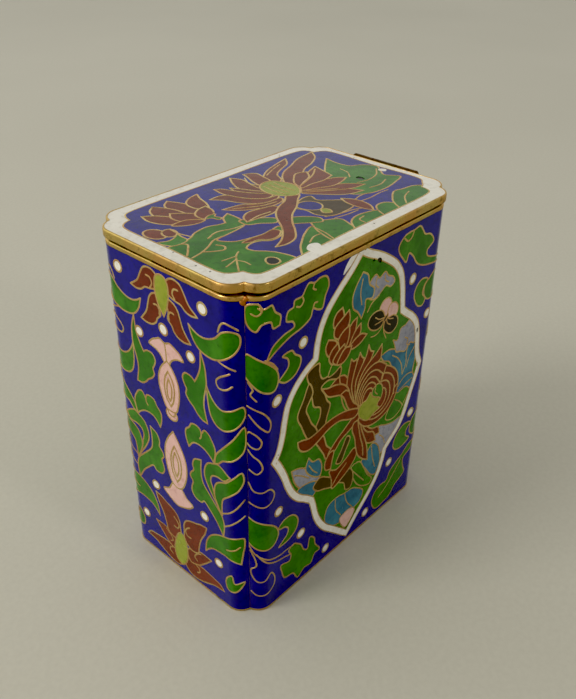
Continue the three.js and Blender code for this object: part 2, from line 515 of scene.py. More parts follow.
def short_wall(pen):
    """Flowers above and below, two tassels between them and a leafy scroll up each side."""
    def top_petals(p):
        p.cell("brown", [
            (1.0, 70.6), (1.4, 71.7), (2.8, 72.4), (4.6, 72.0), (5.6, 70.6), (6.6, 68.9),
            (8.6, 67.4, 1), (7.0, 67.1), (5.7, 67.4), (4.6, 68.2), (3.2, 68.4), (1.6, 69.0)])
        p.wire([(4.1, 70.7), (3.1, 70.6), (2.6, 69.6), (3.2, 68.6)])
        p.cell("brown", [
            (0.6, 67.4), (1.3, 68.0), (2.7, 67.7), (3.6, 66.8), (4.2, 65.2), (4.8, 63.5),
            (6.5, 61.3, 1), (5.0, 61.0), (3.6, 61.2), (2.4, 62.0), (1.9, 63.0), (0.9, 64.1),
            (1.2, 65.3), (1.0, 66.4)])
        p.wire([(2.6, 65.6), (1.8, 65.7), (1.2, 65.0), (1.3, 64.0)])

    def side_scroll(p):
        # the upper pair of leaves
        p.cell("green", [
            (6.2, 65.3, 1), (7.1, 62.9), (8.75, 61.25), (11.7, 60.8), (14.2, 61.7), (16.2, 63.1),
            (17.3, 65.0), (17.1, 66.7), (15.8, 67.3), (14.2, 66.9), (12.5, 65.2), (10.4, 64.2),
            (8.75, 64.1), (7.3, 64.6)])
        p.wire([(13.3, 66.7), (13.9, 68.2), (14.6, 68.8), (15.8, 68.4), (17.0, 67.6)])
        p.wire([(15.4, 59.2), (13.3, 57.9), (12.4, 56.7), (12.9, 55.6), (14.6, 55.8),
                (15.8, 56.7)])
        p.wire([(12.9, 61.1), (14.6, 60.6), (16.4, 59.9)])
        p.cell("green", [
            (8.8, 61.0, 1), (9.7, 58.3), (9.9, 56.2), (9.9, 54.6), (9.2, 51.7), (9.0, 49.6),
            (9.7, 46.2, 1), (8.3, 46.3), (7.1, 47.1), (6.2, 48.1), (5.0, 49.0), (4.3, 50.2),
            (4.6, 51.2), (4.0, 52.3), (3.7, 53.5), (4.4, 54.6), (6.0, 54.6), (6.9, 54.0, 1),
            (7.7, 55.4), (8.5, 57.5)])
        p.cell("green", [
            (9.9, 54.6, 1), (10.8, 52.9), (11.9, 51.7), (13.3, 51.1), (15.4, 51.5), (17.5, 52.3),
            (18.0, 50.8), (17.1, 48.75), (15.4, 47.3), (13.3, 46.75), (11.9, 47.1), (10.8, 48.3),
            (10.2, 50.4)])
        # the middle pair, a fan leaf with another behind it
        p.cell("green", [
            (11.5, 40.0), (13.3, 42.5), (15.4, 45.0), (17.7, 47.9), (18.0, 45.8), (17.5, 42.5),
            (15.4, 40.4), (13.3, 39.6), (12.1, 38.3), (11.0, 37.7, 1)])
        p.cell("green", [
            (4.1, 37.8, 1), (3.5, 39.6), (3.5, 41.5), (4.6, 42.7), (5.2, 43.75), (6.5, 44.1),
            (7.5, 43.7), (7.8, 42.8, 1), (8.75, 44.1), (9.8, 43.75), (10.6, 42.7), (11.3, 41.2),
            (11.2, 39.2), (10.75, 37.8, 1), (9.8, 38.75), (8.3, 39.6), (6.7, 39.8), (5.4, 39.4),
            (4.6, 38.5)])
        p.wire([(7.8, 42.8), (7.7, 42.0), (7.3, 41.4)])
        # the lower leaves, on one stem
        p.cell("green", [
            (13.7, 34.6), (15.4, 36.2), (17.0, 37.6), (17.4, 35.6), (16.3, 33.3), (14.6, 31.7),
            (12.9, 30.0), (12.5, 27.9), (12.5, 25.6, 1), (10.9, 28.4), (10.6, 30.8), (11.2, 32.9),
            (12.5, 34.0)])
        p.cell("green", [
            (10.75, 37.5, 1), (9.2, 36.7), (8.25, 35.0), (8.1, 32.9), (9.2, 30.4), (10.6, 28.3),
            (12.0, 26.2, 1), (10.6, 29.4), (10.2, 31.2), (9.7, 32.9), (10.2, 34.2), (11.7, 34.8),
            (13.3, 34.8), (14.8, 36.2, 1), (13.3, 37.4), (11.9, 37.9)])
        p.cell("green", [
            (7.3, 36.3, 1), (5.4, 35.4), (4.8, 33.75), (5.0, 32.5), (4.2, 31.5), (3.9, 30.4),
            (4.6, 29.4), (4.2, 27.9), (4.1, 26.7), (5.0, 25.4), (6.7, 25.2), (7.5, 26.0),
            (9.2, 24.6), (10.8, 22.9), (12.6, 20.0, 1), (12.9, 23.3), (12.3, 25.4), (10.8, 27.1),
            (9.2, 28.75), (7.5, 30.8), (7.1, 33.3)])
        p.wire([(12.6, 26.2), (15.0, 27.9), (17.5, 31.0)])
        p.wire([(12.8, 22.9), (15.4, 25.0), (17.5, 26.9)])
        p.cell("green", [
            (7.1, 12.1, 1), (7.5, 15.0), (8.75, 17.5), (10.8, 19.2), (12.9, 20.1), (15.4, 20.8),
            (17.1, 21.0), (17.3, 19.2), (16.9, 16.7), (16.5, 13.9, 1), (15.0, 14.4), (12.9, 14.8),
            (10.8, 14.6), (9.2, 14.2), (7.9, 13.1)])
        p.wire([(13.2, 16.8), (15.2, 17.6), (16.4, 18.7)])
        p.cell("green", [
            (14.4, 10.0), (13.1, 8.75), (12.7, 7.1), (13.3, 5.4), (15.0, 5.4), (16.2, 6.7),
            (17.1, 8.75), (15.0, 7.9)])

    def bottom_petals(p):
        p.cell("brown", [
            (0.6, 5.0), (3.3, 5.5), (5.8, 5.7), (9.2, 5.2), (11.0, 4.8), (12.1, 3.7, 1),
            (9.2, 3.2), (7.1, 2.2), (4.6, 1.2), (2.1, 1.1), (0.4, 2.5)])
        p.wire([(3.2, 5.3), (4.6, 4.5), (4.7, 3.6), (3.9, 3.0)])
        p.cell("brown", [
            (1.2, 8.0), (3.7, 9.6), (5.8, 10.2), (8.6, 10.1, 1), (7.1, 8.3), (5.8, 6.9),
            (4.6, 5.8), (2.0, 5.0)])
        p.wire([(5.4, 9.6), (4.2, 8.8), (3.4, 7.4), (4.2, 6.7)])
        p.cell("brown", [
            (0.6, 10.8), (0.6, 13.3), (0.7, 15.0), (1.5, 16.5), (2.9, 17.3), (4.6, 17.9),
            (6.0, 18.5), (7.7, 18.8, 1), (7.1, 16.7), (6.2, 15.0), (5.5, 13.3), (5.0, 11.2),
            (4.6, 9.4), (2.4, 8.8)])
        p.wire([(2.4, 15.1), (1.4, 14.2), (1.0, 13.2), (1.6, 12.2), (2.6, 12.3)])

    both(pen, side_scroll)
    both(pen, top_petals)
    pen.cell("yellowgreen", [
        (-0.1, 72.1), (1.1, 71.6), (1.6, 69.6), (1.0, 66.4), (-0.1, 64.1, 1), (-1.5, 66.4),
        (-2.0, 69.6), (-1.4, 71.6)])
    # tassels
    pen.cell("pink", [
        (-5.0, 56.7), (-4.0, 57.9), (-2.9, 58.5), (-1.9, 59.0), (-0.6, 58.5), (0.8, 59.0),
        (2.1, 58.5), (3.3, 57.9), (4.2, 56.7), (2.9, 56.5), (1.7, 56.0), (0.8, 55.2), (0.2, 54.2),
        (-1.0, 54.2), (-1.7, 55.2), (-2.6, 56.0), (-3.8, 56.4)])
    pen.wire([(-0.6, 58.4), (-0.4, 56.8), (-0.4, 55.0)])
    pen.oval("pink", -0.2, 42.9, 1.55, 1.3)
    pen.oval("pink", -0.2, 43.4, 1.0, 0.8)
    pen.cell("pink", [
        (-0.3, 54.9, 1), (1.2, 53.2), (2.3, 50.8), (2.4, 48.2), (1.9, 45.8), (1.1, 44.0),
        (-0.2, 43.7), (-1.5, 44.0), (-2.4, 45.8), (-3.1, 48.4), (-3.0, 50.8), (-1.9, 53.2)])
    pen.cell("pink", [
        (-0.3, 52.6, 1), (0.8, 50.8), (1.1, 48.8), (0.6, 46.2), (-0.2, 44.8, 1), (-1.2, 46.2),
        (-1.6, 48.8), (-1.3, 50.8)], TASSEL)
    pen.cell("pink", [
        (-0.3, 51.0, 1), (0.35, 49.2), (0.1, 46.8), (-0.3, 46.0, 1), (-0.8, 46.8),
        (-0.9, 49.2)], TASSEL)
    pen.cell("pink", [
        (-1.7, 24.9), (0.7, 24.9), (2.2, 23.2), (4.0, 22.2), (2.9, 20.9), (0.9, 19.9),
        (-0.8, 19.4), (-2.9, 20.2), (-4.8, 21.7), (-3.0, 22.8)])
    pen.cell("pink", [
        (-0.3, 38.8, 1), (1.4, 36.2), (2.7, 33.2), (2.9, 30.4), (2.2, 27.2), (0.9, 24.9),
        (-0.4, 24.4), (-1.7, 24.9), (-2.7, 27.2), (-3.3, 30.8), (-3.1, 33.8), (-1.9, 36.6)])
    pen.cell("pink", [
        (-0.3, 35.2, 1), (1.0, 32.8), (1.3, 30.4), (0.8, 27.8), (-0.3, 26.0, 1), (-1.3, 27.8),
        (-1.7, 30.4), (-1.4, 32.8)], TASSEL)
    pen.cell("pink", [
        (-0.3, 33.6, 1), (0.45, 31.6), (0.4, 29.0), (-0.3, 27.4, 1), (-0.9, 29.0),
        (-1.0, 31.6)], TASSEL)
    both(pen, bottom_petals)
    pen.cell("yellowgreen", [
        (-0.2, 11.6), (0.9, 9.9), (1.2, 6.9), (0.6, 3.6), (-0.7, 1.9), (-2.3, 2.4), (-3.0, 5.0),
        (-2.4, 8.6), (-1.3, 11.0)])
    for u, z in ((-11.9, 69.6), (9.8, 69.6), (-0.6, 61.3), (-7.6, 58.0), (6.25, 58.75),
                 (-7.4, 20.8), (7.3, 21.8), (-11.8, 10.0), (10.8, 11.2)):
        pen.dot(u, z)


# ---------------------------------------------------------------- places on the object

def wall_place(half_out, flat):
    """Wall k is the front turned by quarter turns. Returns a function of k."""
    def for_wall(k):
        turn = k * math.pi / 2
        along = np.array([math.cos(turn), math.sin(turn), 0.0])
        out = np.array([math.sin(turn), -math.cos(turn), 0.0])

        def place(uv):
            u, z = uv.T
            t = np.maximum(np.abs(u) - flat, 0) / LOBE
            sign = np.sign(u)
            reach = np.where(t > 0, sign * (flat + LOBE * np.sin(t)), u)
            dist = half_out - LOBE * (1 - np.cos(t))
            point = reach[:, None] * along + dist[:, None] * out
            point[:, 2] = z
            normal = (sign * np.sin(t))[:, None] * along + np.cos(t)[:, None] * out
            edge = np.clip(t / 0.5, 0, 1)
            proud = PROUD + (PROUD_LOBE - PROUD) * edge * edge * (3 - 2 * edge)
            return point, normal, proud

        return place

    return for_wall


def wall_panel(name, k):
    turn = lobe_data(BODY)[3]
    half_out, half_along = (HALF_Y, HALF_X) if k % 2 == 0 else (HALF_X, HALF_Y)
    flat = half_along - BODY["inset"]
    end = flat + LOBE * turn
    count = int(LOBE * turn / COLUMN)
    columns = [s * (flat + LOBE * turn * i / count) for s in (-1, 1) for i in range(count)]
    domain = np.array([[-end, FOOT], [end, FOOT], [end, WALL_TOP], [-end, WALL_TOP]])
    return Panel(name, domain, "cobalt", wall_place(half_out, flat)(k), columns)


# ---------------------------------------------------------------- the long walls

CARTOUCHE = [
    (-0.9, 73.9, 1), (-3.9, 70.8), (-7.2, 68.1), (-10.1, 65.3), (-11.9, 62.4), (-12.8, 59.6),
    (-13.2, 56.4, 1), (-15.5, 55.2), (-18.4, 52.8), (-20.3, 50.0), (-21.2, 46.7), (-21.8, 43.3),
    (-22.7, 40.5), (-23.9, 38.75, 1), (-22.5, 36.2), (-21.0, 32.9), (-20.0, 30.0), (-18.4, 26.7),
    (-16.4, 24.2), (-14.3, 22.5), (-12.7, 21.0, 1), (-12.0, 18.75), (-11.2, 15.8), (-9.7, 12.5),
    (-7.7, 9.6), (-5.2, 7.1), (-2.7, 4.6), (-0.4, 2.3), (0.9, 1.2, 1), (2.3, 2.7), (4.8, 5.2),
    (7.7, 7.8), (9.8, 10.0), (11.9, 12.9), (13.2, 16.2), (13.8, 19.0, 1), (16.1, 20.8),
    (18.2, 22.5), (19.8, 25.0), (21.1, 28.3), (22.1, 31.2), (23.2, 34.2), (24.2, 37.5, 1),
    (22.75, 40.8), (22.1, 44.2), (21.7, 46.7), (20.7, 49.6), (18.6, 52.1), (16.5, 53.75),
    (15.0, 55.0, 1), (14.6, 57.5), (14.1, 60.4), (13.1, 63.7), (11.0, 66.6), (7.7, 69.1),
    (4.4, 71.0), (1.9, 72.2)]
BORDER = 1.55        # white border of the cartouche, from wire to wire


def cartouche(pen, inside):
    """The white bordered window with its own drawing inside."""
    outer = anticlockwise(spline(pen.at(CARTOUCHE)))
    inner = offset(outer, BORDER, mitre=2.2)
    pen.panel.cell("green", offset(outer, BORDER * 0.6), NO_WIRE)
    inside(pen)
    pen.panel.cell("white", outer, HAIR, hole=inner)


def corner_leaves(p):
    """Scrolling leaves on the blue ground, left side of a long wall."""
    # upper corner
    p.cell("green", [
        (-28.4, 71.9), (-26.4, 72.3), (-25.6, 71.25), (-23.9, 71.5), (-23.1, 70.0), (-21.8, 68.75),
        (-22.0, 67.1, 1), (-23.5, 67.1), (-24.1, 68.5), (-25.8, 68.5), (-26.8, 67.3),
        (-28.3, 68.6)])
    p.wire([(-27.6, 70.6), (-26.6, 70.2), (-25.8, 70.9), (-26.4, 71.6)])
    p.cell("green", [
        (-20.4, 67.1), (-20.0, 68.75), (-18.7, 69.0), (-18.5, 70.1), (-16.6, 70.2), (-16.0, 71.0),
        (-15.0, 72.0), (-13.5, 71.5), (-12.2, 71.9), (-10.4, 71.5), (-9.75, 69.6), (-10.6, 67.9),
        (-11.3, 65.7), (-12.7, 66.1), (-13.7, 66.7), (-14.3, 65.2), (-16.4, 64.2), (-19.3, 63.7),
        (-22.7, 62.5), (-25.0, 61.3, 1), (-23.7, 63.5), (-21.0, 64.7), (-18.4, 65.2),
        (-18.8, 66.3)])
    p.wire([(-16.6, 70.1), (-16.2, 69.2), (-17.0, 68.4), (-18.0, 68.8)])
    p.wire([(-13.5, 71.5), (-13.9, 70.6), (-13.1, 70.0)])
    p.wire([(-13.7, 66.7), (-13.4, 67.6), (-12.6, 67.5)])
    p.cell("green", [
        (-28.5, 62.9), (-26.4, 61.9), (-24.3, 60.4), (-22.5, 58.3), (-22.2, 56.25), (-23.1, 54.6),
        (-25.6, 55.2), (-27.7, 57.1), (-29.3, 59.6)])
    p.cell("green", [
        (-21.2, 60.6), (-18.9, 60.7), (-18.1, 59.6), (-16.6, 58.3), (-16.6, 56.9), (-18.1, 55.2),
        (-20.4, 54.9), (-22.2, 56.0, 1), (-20.9, 56.8), (-19.7, 57.9), (-19.9, 59.5)])
    p.wire([(-25.3, 61.6), (-23.6, 60.3), (-22.4, 58.6)])
    # lower corner
    p.cell("green", [
        (-29.7, 26.7), (-27.25, 25.4), (-23.9, 23.3), (-22.2, 21.25), (-21.8, 19.2), (-23.1, 17.3),
        (-26.0, 17.5), (-28.9, 20.0)])
    p.cell("green", [
        (-22.0, 20.8, 1), (-20.2, 21.9), (-18.1, 21.7), (-16.6, 20.4), (-16.0, 18.8),
        (-16.6, 16.7), (-18.9, 15.4), (-21.6, 15.5), (-20.4, 16.4), (-19.2, 17.3), (-18.9, 18.75),
        (-20.0, 19.9), (-21.2, 20.2)])
    p.cell("green", [
        (-20.9, 9.6), (-18.3, 8.9), (-17.9, 10.4), (-18.6, 12.0), (-17.2, 12.9), (-15.9, 12.0),
        (-14.8, 10.8), (-13.9, 8.75), (-12.7, 7.9), (-12.0, 10.8), (-10.6, 9.6), (-10.2, 7.5),
        (-8.6, 4.6), (-10.2, 4.6), (-11.4, 2.5), (-13.5, 2.9), (-15.6, 1.7), (-17.2, 4.2),
        (-19.7, 5.0), (-20.6, 7.4)])
    p.wire([
        (-28.9, 19.4), (-27.6, 16.9), (-25.6, 15.0), (-23.4, 13.6), (-21.0, 12.9), (-19.0, 12.9),
        (-17.2, 12.6)])
    p.wire([(-27.2, 16.6), (-25.0, 13.7), (-22.4, 12.0), (-19.6, 11.2), (-18.0, 10.6)])


def right_leaves(p):
    """Leaves on the blue ground, right side of the front wall."""
    p.cell("green", [
        (10.7, 69.6), (12.3, 71.2), (14.0, 71.5), (15.5, 71.5), (17.3, 71.7), (18.6, 70.4),
        (19.4, 69.4), (21.5, 68.7), (22.9, 66.8), (20.9, 65.4), (21.2, 64.2), (24.8, 62.9),
        (27.4, 62.6), (27.2, 61.6), (24.6, 61.6), (20.2, 62.4), (17.7, 63.7), (16.0, 65.8),
        (14.4, 67.0), (13.7, 65.4), (12.3, 66.7), (11.0, 68.3)])
    p.wire([(12.3, 70.8), (13.6, 69.8), (14.8, 70.2), (15.3, 71.2)])
    p.cell("green", [
        (25.0, 59.6), (23.4, 58.6), (21.7, 57.2), (21.8, 55.0), (23.4, 53.4), (25.8, 53.6),
        (27.6, 55.2), (28.2, 57.6)])
    p.cell("green", [
        (18.0, 56.6), (18.8, 58.4), (20.6, 59.2), (22.6, 58.4), (21.4, 57.2), (21.2, 55.4),
        (22.4, 54.0), (21.6, 52.7), (20.0, 53.1), (18.7, 54.6)])
    p.cell("green", [
        (23.2, 21.6), (25.6, 23.6), (28.2, 24.2), (28.3, 21.6), (27.4, 18.6), (25.2, 16.8),
        (23.0, 18.2)])
    p.cell("green", [
        (16.5, 18.3), (17.7, 20.8), (20.2, 22.1), (23.0, 21.2), (21.6, 20.0), (21.4, 18.2),
        (23.0, 16.6), (19.8, 15.6), (17.3, 16.5)])
    p.cell("green", [
        (10.0, 5.0), (10.9, 7.4), (13.0, 8.4), (15.2, 8.3), (16.4, 10.4), (18.6, 11.8),
        (20.8, 12.8), (23.4, 14.6), (25.0, 14.8), (24.2, 12.6), (21.6, 11.2), (21.8, 8.8),
        (22.6, 6.2), (19.0, 4.2), (17.4, 2.4), (14.8, 1.8), (11.9, 1.8)])
    p.wire([(12.6, 4.8), (15.4, 6.2), (18.2, 8.8), (20.6, 11.4)])
    p.wire([(25.2, 14.8), (26.6, 16.2), (28.2, 18.4)])
    p.wire([(28.2, 33.0), (26.4, 32.0), (25.4, 29.8), (26.6, 28.2), (28.3, 28.4)])
    p.wire([(28.3, 47.2), (26.6, 46.4), (25.7, 44.4), (26.6, 42.6), (28.3, 42.8)])


def groove_wires(p):
    """Open curls where the wall turns towards the corner groove."""
    p.wire([(-28.3, 57.4), (-27.4, 55.8), (-27.9, 55.0), (-26.8, 53.6)], CURL)
    p.wire([
        (-28.5, 52.5), (-26.9, 51.7), (-25.2, 50.4), (-24.0, 47.9), (-24.5, 46.5), (-26.0, 47.7),
        (-28.2, 50.6)], CURL)
    p.wire([
        (-28.1, 47.0), (-26.9, 46.2), (-25.9, 44.5), (-26.5, 43.2), (-27.9, 43.6), (-29.0, 45.2),
        (-28.6, 46.6), (-28.1, 47.0)], CURL)
    p.wire([
        (-28.5, 42.9), (-27.7, 41.7), (-26.4, 40.4), (-25.8, 38.3), (-26.8, 37.3),
        (-28.3, 38.3)], CURL)
    p.wire([
        (-28.5, 35.2), (-27.5, 33.2), (-25.9, 32.6), (-24.3, 32.8), (-23.0, 31.0), (-23.6, 29.4),
        (-25.6, 28.8), (-27.4, 29.6), (-28.5, 30.3)], CURL)
    p.wire([
        (-28.4, 17.6), (-27.4, 15.2), (-27.2, 13.2), (-28.3, 12.2), (-28.0, 10.2), (-26.8, 8.6),
        (-25.4, 8.5), (-23.9, 10.0), (-22.8, 8.2), (-23.0, 5.8), (-25.0, 4.4), (-27.0, 4.6),
        (-28.3, 5.8)], CURL)


def chrysanthemum(p):
    """The large flower of the front window, each petal over the last."""
    # petals that hang below
    p.cell("brown", [
        (4.0, 32.6), (5.4, 30.2), (7.4, 28.4), (9.6, 27.6), (10.2, 25.6, 1), (8.4, 26.0),
        (6.3, 27.2), (4.2, 29.4), (2.8, 32.0)])
    p.cell("brown", [
        (3.2, 33.2), (4.2, 30.4), (6.0, 28.3), (7.9, 27.2), (9.1, 24.2, 1), (7.2, 24.6),
        (5.2, 26.0), (3.6, 28.4), (2.6, 31.4)])
    p.cell("brown", [
        (2.6, 33.4), (3.4, 30.8), (4.5, 28.2), (5.6, 25.6), (6.2, 23.4), (6.6, 20.3, 1),
        (4.8, 21.6), (2.9, 23.8), (1.9, 26.6), (1.3, 29.4), (0.2, 32.2), (0.6, 33.8)])
    p.wire([(2.0, 33.6), (2.6, 31.0), (3.4, 28.2), (4.4, 25.4), (4.8, 22.6)])
    # crescents on the right, each over the last
    p.cell("brown", [
        (9.6, 43.2), (12.9, 41.5), (15.0, 38.9), (15.6, 35.6), (14.7, 32.4), (12.6, 30.3),
        (9.4, 29.5), (6.2, 29.9), (3.6, 31.4), (2.2, 33.8), (5.0, 34.5), (9.0, 36.0), (9.4, 39.5)])
    p.cell("brown", [
        (9.4, 41.4), (12.2, 40.2), (14.0, 37.6), (14.2, 34.6), (12.9, 32.2), (10.6, 30.9),
        (7.8, 30.9), (5.6, 31.9), (3.6, 33.4), (6.0, 35.0), (9.0, 38.0)])
    p.cell("brown", [
        (9.2, 39.6), (11.6, 38.6), (12.7, 36.2), (12.5, 33.9), (11.0, 32.3), (8.8, 31.8),
        (6.6, 32.6), (7.6, 35.0), (8.6, 37.0)])
    p.cell("brown", [
        (9.2, 37.9), (10.9, 37.0), (11.4, 35.1), (10.6, 33.4), (8.8, 32.8), (8.0, 34.6)])
    p.wire([(15.3, 36.0), (14.2, 35.2), (14.4, 33.8)])
    # the upper fan
    p.cell("brown", [
        (-7.9, 47.3, 1), (-6.6, 48.0), (-5.2, 48.3), (-3.6, 47.8), (-2.4, 46.2), (-1.9, 43.8),
        (-3.0, 43.2), (-5.4, 44.6)])
    p.wire([(-5.2, 48.2), (-4.9, 46.8), (-4.3, 45.6)])
    p.cell("brown", [
        (-1.8, 50.6, 1), (-2.3, 48.3), (-2.7, 45.4), (-2.2, 42.4), (-0.4, 39.4), (1.2, 37.2),
        (2.2, 38.4), (1.4, 41.2), (0.6, 44.2), (0.3, 47.0), (0.0, 49.8, 1), (-0.9, 49.7)])
    p.cell("brown", [
        (0.9, 50.8, 1), (0.0, 48.6), (-0.7, 46.4), (-1.1, 44.0), (-0.4, 41.0), (0.9, 38.2),
        (2.2, 38.2), (1.8, 42.4), (2.0, 46.4), (2.4, 48.8, 1), (1.7, 49.4)])
    p.cell("brown", [
        (3.6, 51.3, 1), (3.0, 49.0), (1.6, 47.0), (0.3, 44.6), (0.2, 41.6), (1.2, 38.8),
        (2.8, 38.2), (2.6, 42.4), (4.0, 46.0), (5.5, 48.9, 1), (4.4, 49.6)])
    p.cell("brown", [
        (8.1, 49.4, 1), (6.4, 48.0), (3.8, 46.7), (1.8, 44.8), (0.9, 42.2), (1.1, 39.4),
        (2.8, 38.2), (3.6, 42.2), (5.6, 44.6), (8.1, 46.0, 1), (8.3, 47.6)])
    p.cell("brown", [
        (0.9, 37.6), (0.8, 40.6), (1.8, 43.4), (4.2, 45.3), (7.4, 45.5), (10.5, 43.4, 1),
        (9.8, 41.4), (8.8, 39.2), (6.0, 37.0)])
    p.cell("brown", [
        (1.3, 37.6), (1.4, 40.3), (2.5, 42.6), (4.5, 44.0), (6.9, 43.8), (9.5, 41.6, 1),
        (8.6, 39.4), (6.0, 37.2)])
    p.cell("brown", [
        (1.8, 37.6), (2.0, 39.9), (3.0, 41.8), (4.8, 42.8), (6.8, 42.1), (8.6, 39.9, 1),
        (6.0, 37.4)])
    p.cell("brown", [
        (2.4, 37.6), (2.6, 39.5), (3.6, 41.0), (5.0, 41.5), (6.5, 40.8), (7.7, 39.2, 1),
        (6.0, 37.5)])
    p.cell("brown", [
        (3.0, 37.6), (3.3, 39.2), (4.3, 40.2), (5.5, 40.0), (6.6, 38.9, 1), (5.4, 37.8)])
    # left petals
    p.cell("brown", [
        (-10.3, 48.1, 1), (-8.6, 47.4), (-6.2, 46.9), (-4.0, 45.9), (-2.3, 44.2), (-1.2, 41.6),
        (0.0, 39.4), (1.6, 37.6), (1.0, 35.9), (-0.6, 37.4), (-2.0, 39.4), (-3.2, 42.0),
        (-4.4, 43.5), (-6.2, 44.3), (-8.2, 45.2), (-9.4, 46.6)])
    p.wire([(-4.3, 43.7), (-2.9, 43.9), (-1.9, 43.2)])
    p.wire([(-4.3, 43.3), (-3.6, 41.0), (-2.5, 39.0), (-1.0, 37.4)])
    p.cell("brown", [
        (-16.7, 39.3, 1), (-15.4, 39.0), (-13.4, 38.3), (-11.0, 38.5), (-8.2, 39.1), (-5.2, 39.1),
        (-2.4, 38.6), (0.4, 37.6), (2.2, 36.4), (0.8, 35.3), (-1.4, 35.9), (-4.3, 37.2),
        (-7.7, 37.1), (-11.0, 35.9), (-13.6, 35.5), (-15.6, 36.5), (-16.5, 37.9)])
    # the heart
    p.cell("green", [
        (6.4, 39.1), (8.0, 39.8), (9.5, 38.7), (10.0, 36.8), (9.2, 35.0), (7.6, 35.4),
        (6.2, 37.2)])
    p.wire([(7.4, 39.4), (7.2, 38.2), (8.2, 37.0)], VEIN)
    p.cell("yellowgreen", [
        (1.8, 36.4), (3.2, 37.5), (4.4, 37.6), (5.6, 38.8), (6.5, 37.4), (7.6, 36.6), (9.2, 35.5),
        (8.4, 34.2), (9.3, 32.9), (7.4, 32.5), (5.6, 31.8), (3.8, 32.8), (2.4, 34.3)], VEIN)


def bud(p):
    """The closed flower above it."""
    p.cell("green", [
        (-8.6, 50.0), (-7.0, 49.9), (-4.6, 51.2), (-4.4, 52.8), (-6.4, 53.2), (-7.8, 52.0)], FINE)
    p.cell("brown", [
        (-5.5, 63.4, 1), (-7.1, 62.9), (-7.9, 61.6), (-7.6, 60.0), (-5.6, 59.6), (-4.9, 61.4)])
    p.cell("brown", [
        (-3.5, 62.1, 1), (-5.6, 61.0), (-7.4, 59.9), (-7.4, 58.0), (-5.6, 57.0), (-3.7, 58.4),
        (-3.1, 60.2)])
    p.cell("brown", [
        (-9.1, 58.2, 1), (-9.8, 56.7), (-8.9, 54.6), (-7.2, 54.4), (-6.6, 56.6), (-7.6, 57.5)])
    p.cell("brown", [
        (-0.9, 59.4, 1), (-2.3, 58.9), (-3.6, 57.0), (-4.2, 54.8), (-2.6, 53.6), (-1.4, 55.6),
        (-1.0, 57.6)])
    p.cell("brown", [
        (0.4, 57.6, 1), (-0.8, 57.0), (-2.0, 55.6), (-2.6, 53.9), (-0.6, 53.8), (0.5, 55.9)])
    p.cell("brown", [
        (-3.1, 58.7, 1), (-5.0, 58.1), (-6.4, 56.6), (-6.0, 54.4), (-4.0, 54.2), (-3.0, 56.6)])
    p.cell("brown", [
        (2.6, 54.2, 1), (0.8, 55.1), (-1.0, 54.8), (-2.8, 53.6), (-1.8, 52.9), (0.6, 53.1)])
    p.cell("brown", [
        (-6.2, 56.3, 1), (-8.0, 55.4), (-8.7, 54.0), (-7.6, 52.2), (-5.9, 52.4), (-5.7, 54.4)])
    p.cell("brown", [
        (-4.3, 55.2, 1), (-6.2, 54.3), (-7.5, 52.8), (-6.4, 51.6), (-4.4, 52.0), (-3.8, 53.6)])
    p.cell("brown", [
        (-2.0, 53.7, 1), (-4.0, 54.1), (-5.5, 52.8), (-6.2, 51.5), (-4.3, 51.1), (-2.6, 52.3)])


def butterfly(p):
    p.cell("pink", [
        (6.2, 58.2), (7.4, 59.6), (9.2, 59.5), (10.1, 58.1), (9.4, 56.4), (8.4, 55.6),
        (7.0, 56.8)], VEIN)
    p.cell("pink", [
        (9.6, 57.7), (11.4, 57.6), (12.6, 56.0), (12.2, 54.6), (10.6, 54.4), (9.0, 55.3)], VEIN)
    p.cell("black", [
        (8.3, 55.6, 1), (7.2, 57.4), (5.2, 58.1), (3.3, 57.6), (2.7, 56.2), (3.8, 54.6),
        (6.0, 53.7), (7.6, 54.2)], VEIN)
    p.cell("black", [
        (8.6, 55.2, 1), (8.0, 53.4), (9.2, 51.6), (11.2, 50.8), (12.8, 51.8), (12.7, 53.6),
        (11.2, 54.8), (9.8, 54.9)], VEIN)
    p.wire([(8.2, 55.5), (6.4, 55.8), (5.0, 56.8)], HAIR)
    p.wire([(8.2, 55.3), (6.6, 55.1), (5.0, 55.2)], HAIR)
    p.wire([(8.8, 54.9), (9.2, 53.8), (10.4, 52.9)], HAIR)
    p.wire([(8.9, 55.1), (10.0, 54.4), (11.2, 54.0)], HAIR)
    p.oval("black", 8.5, 55.2, 1.0, 0.42, 0.75, HAIR)
    p.wire([(7.8, 54.5), (6.8, 53.0), (5.2, 52.6), (4.0, 52.9)], HAIR)
    p.wire([(8.1, 54.2), (8.2, 52.4), (9.3, 50.2)], HAIR)


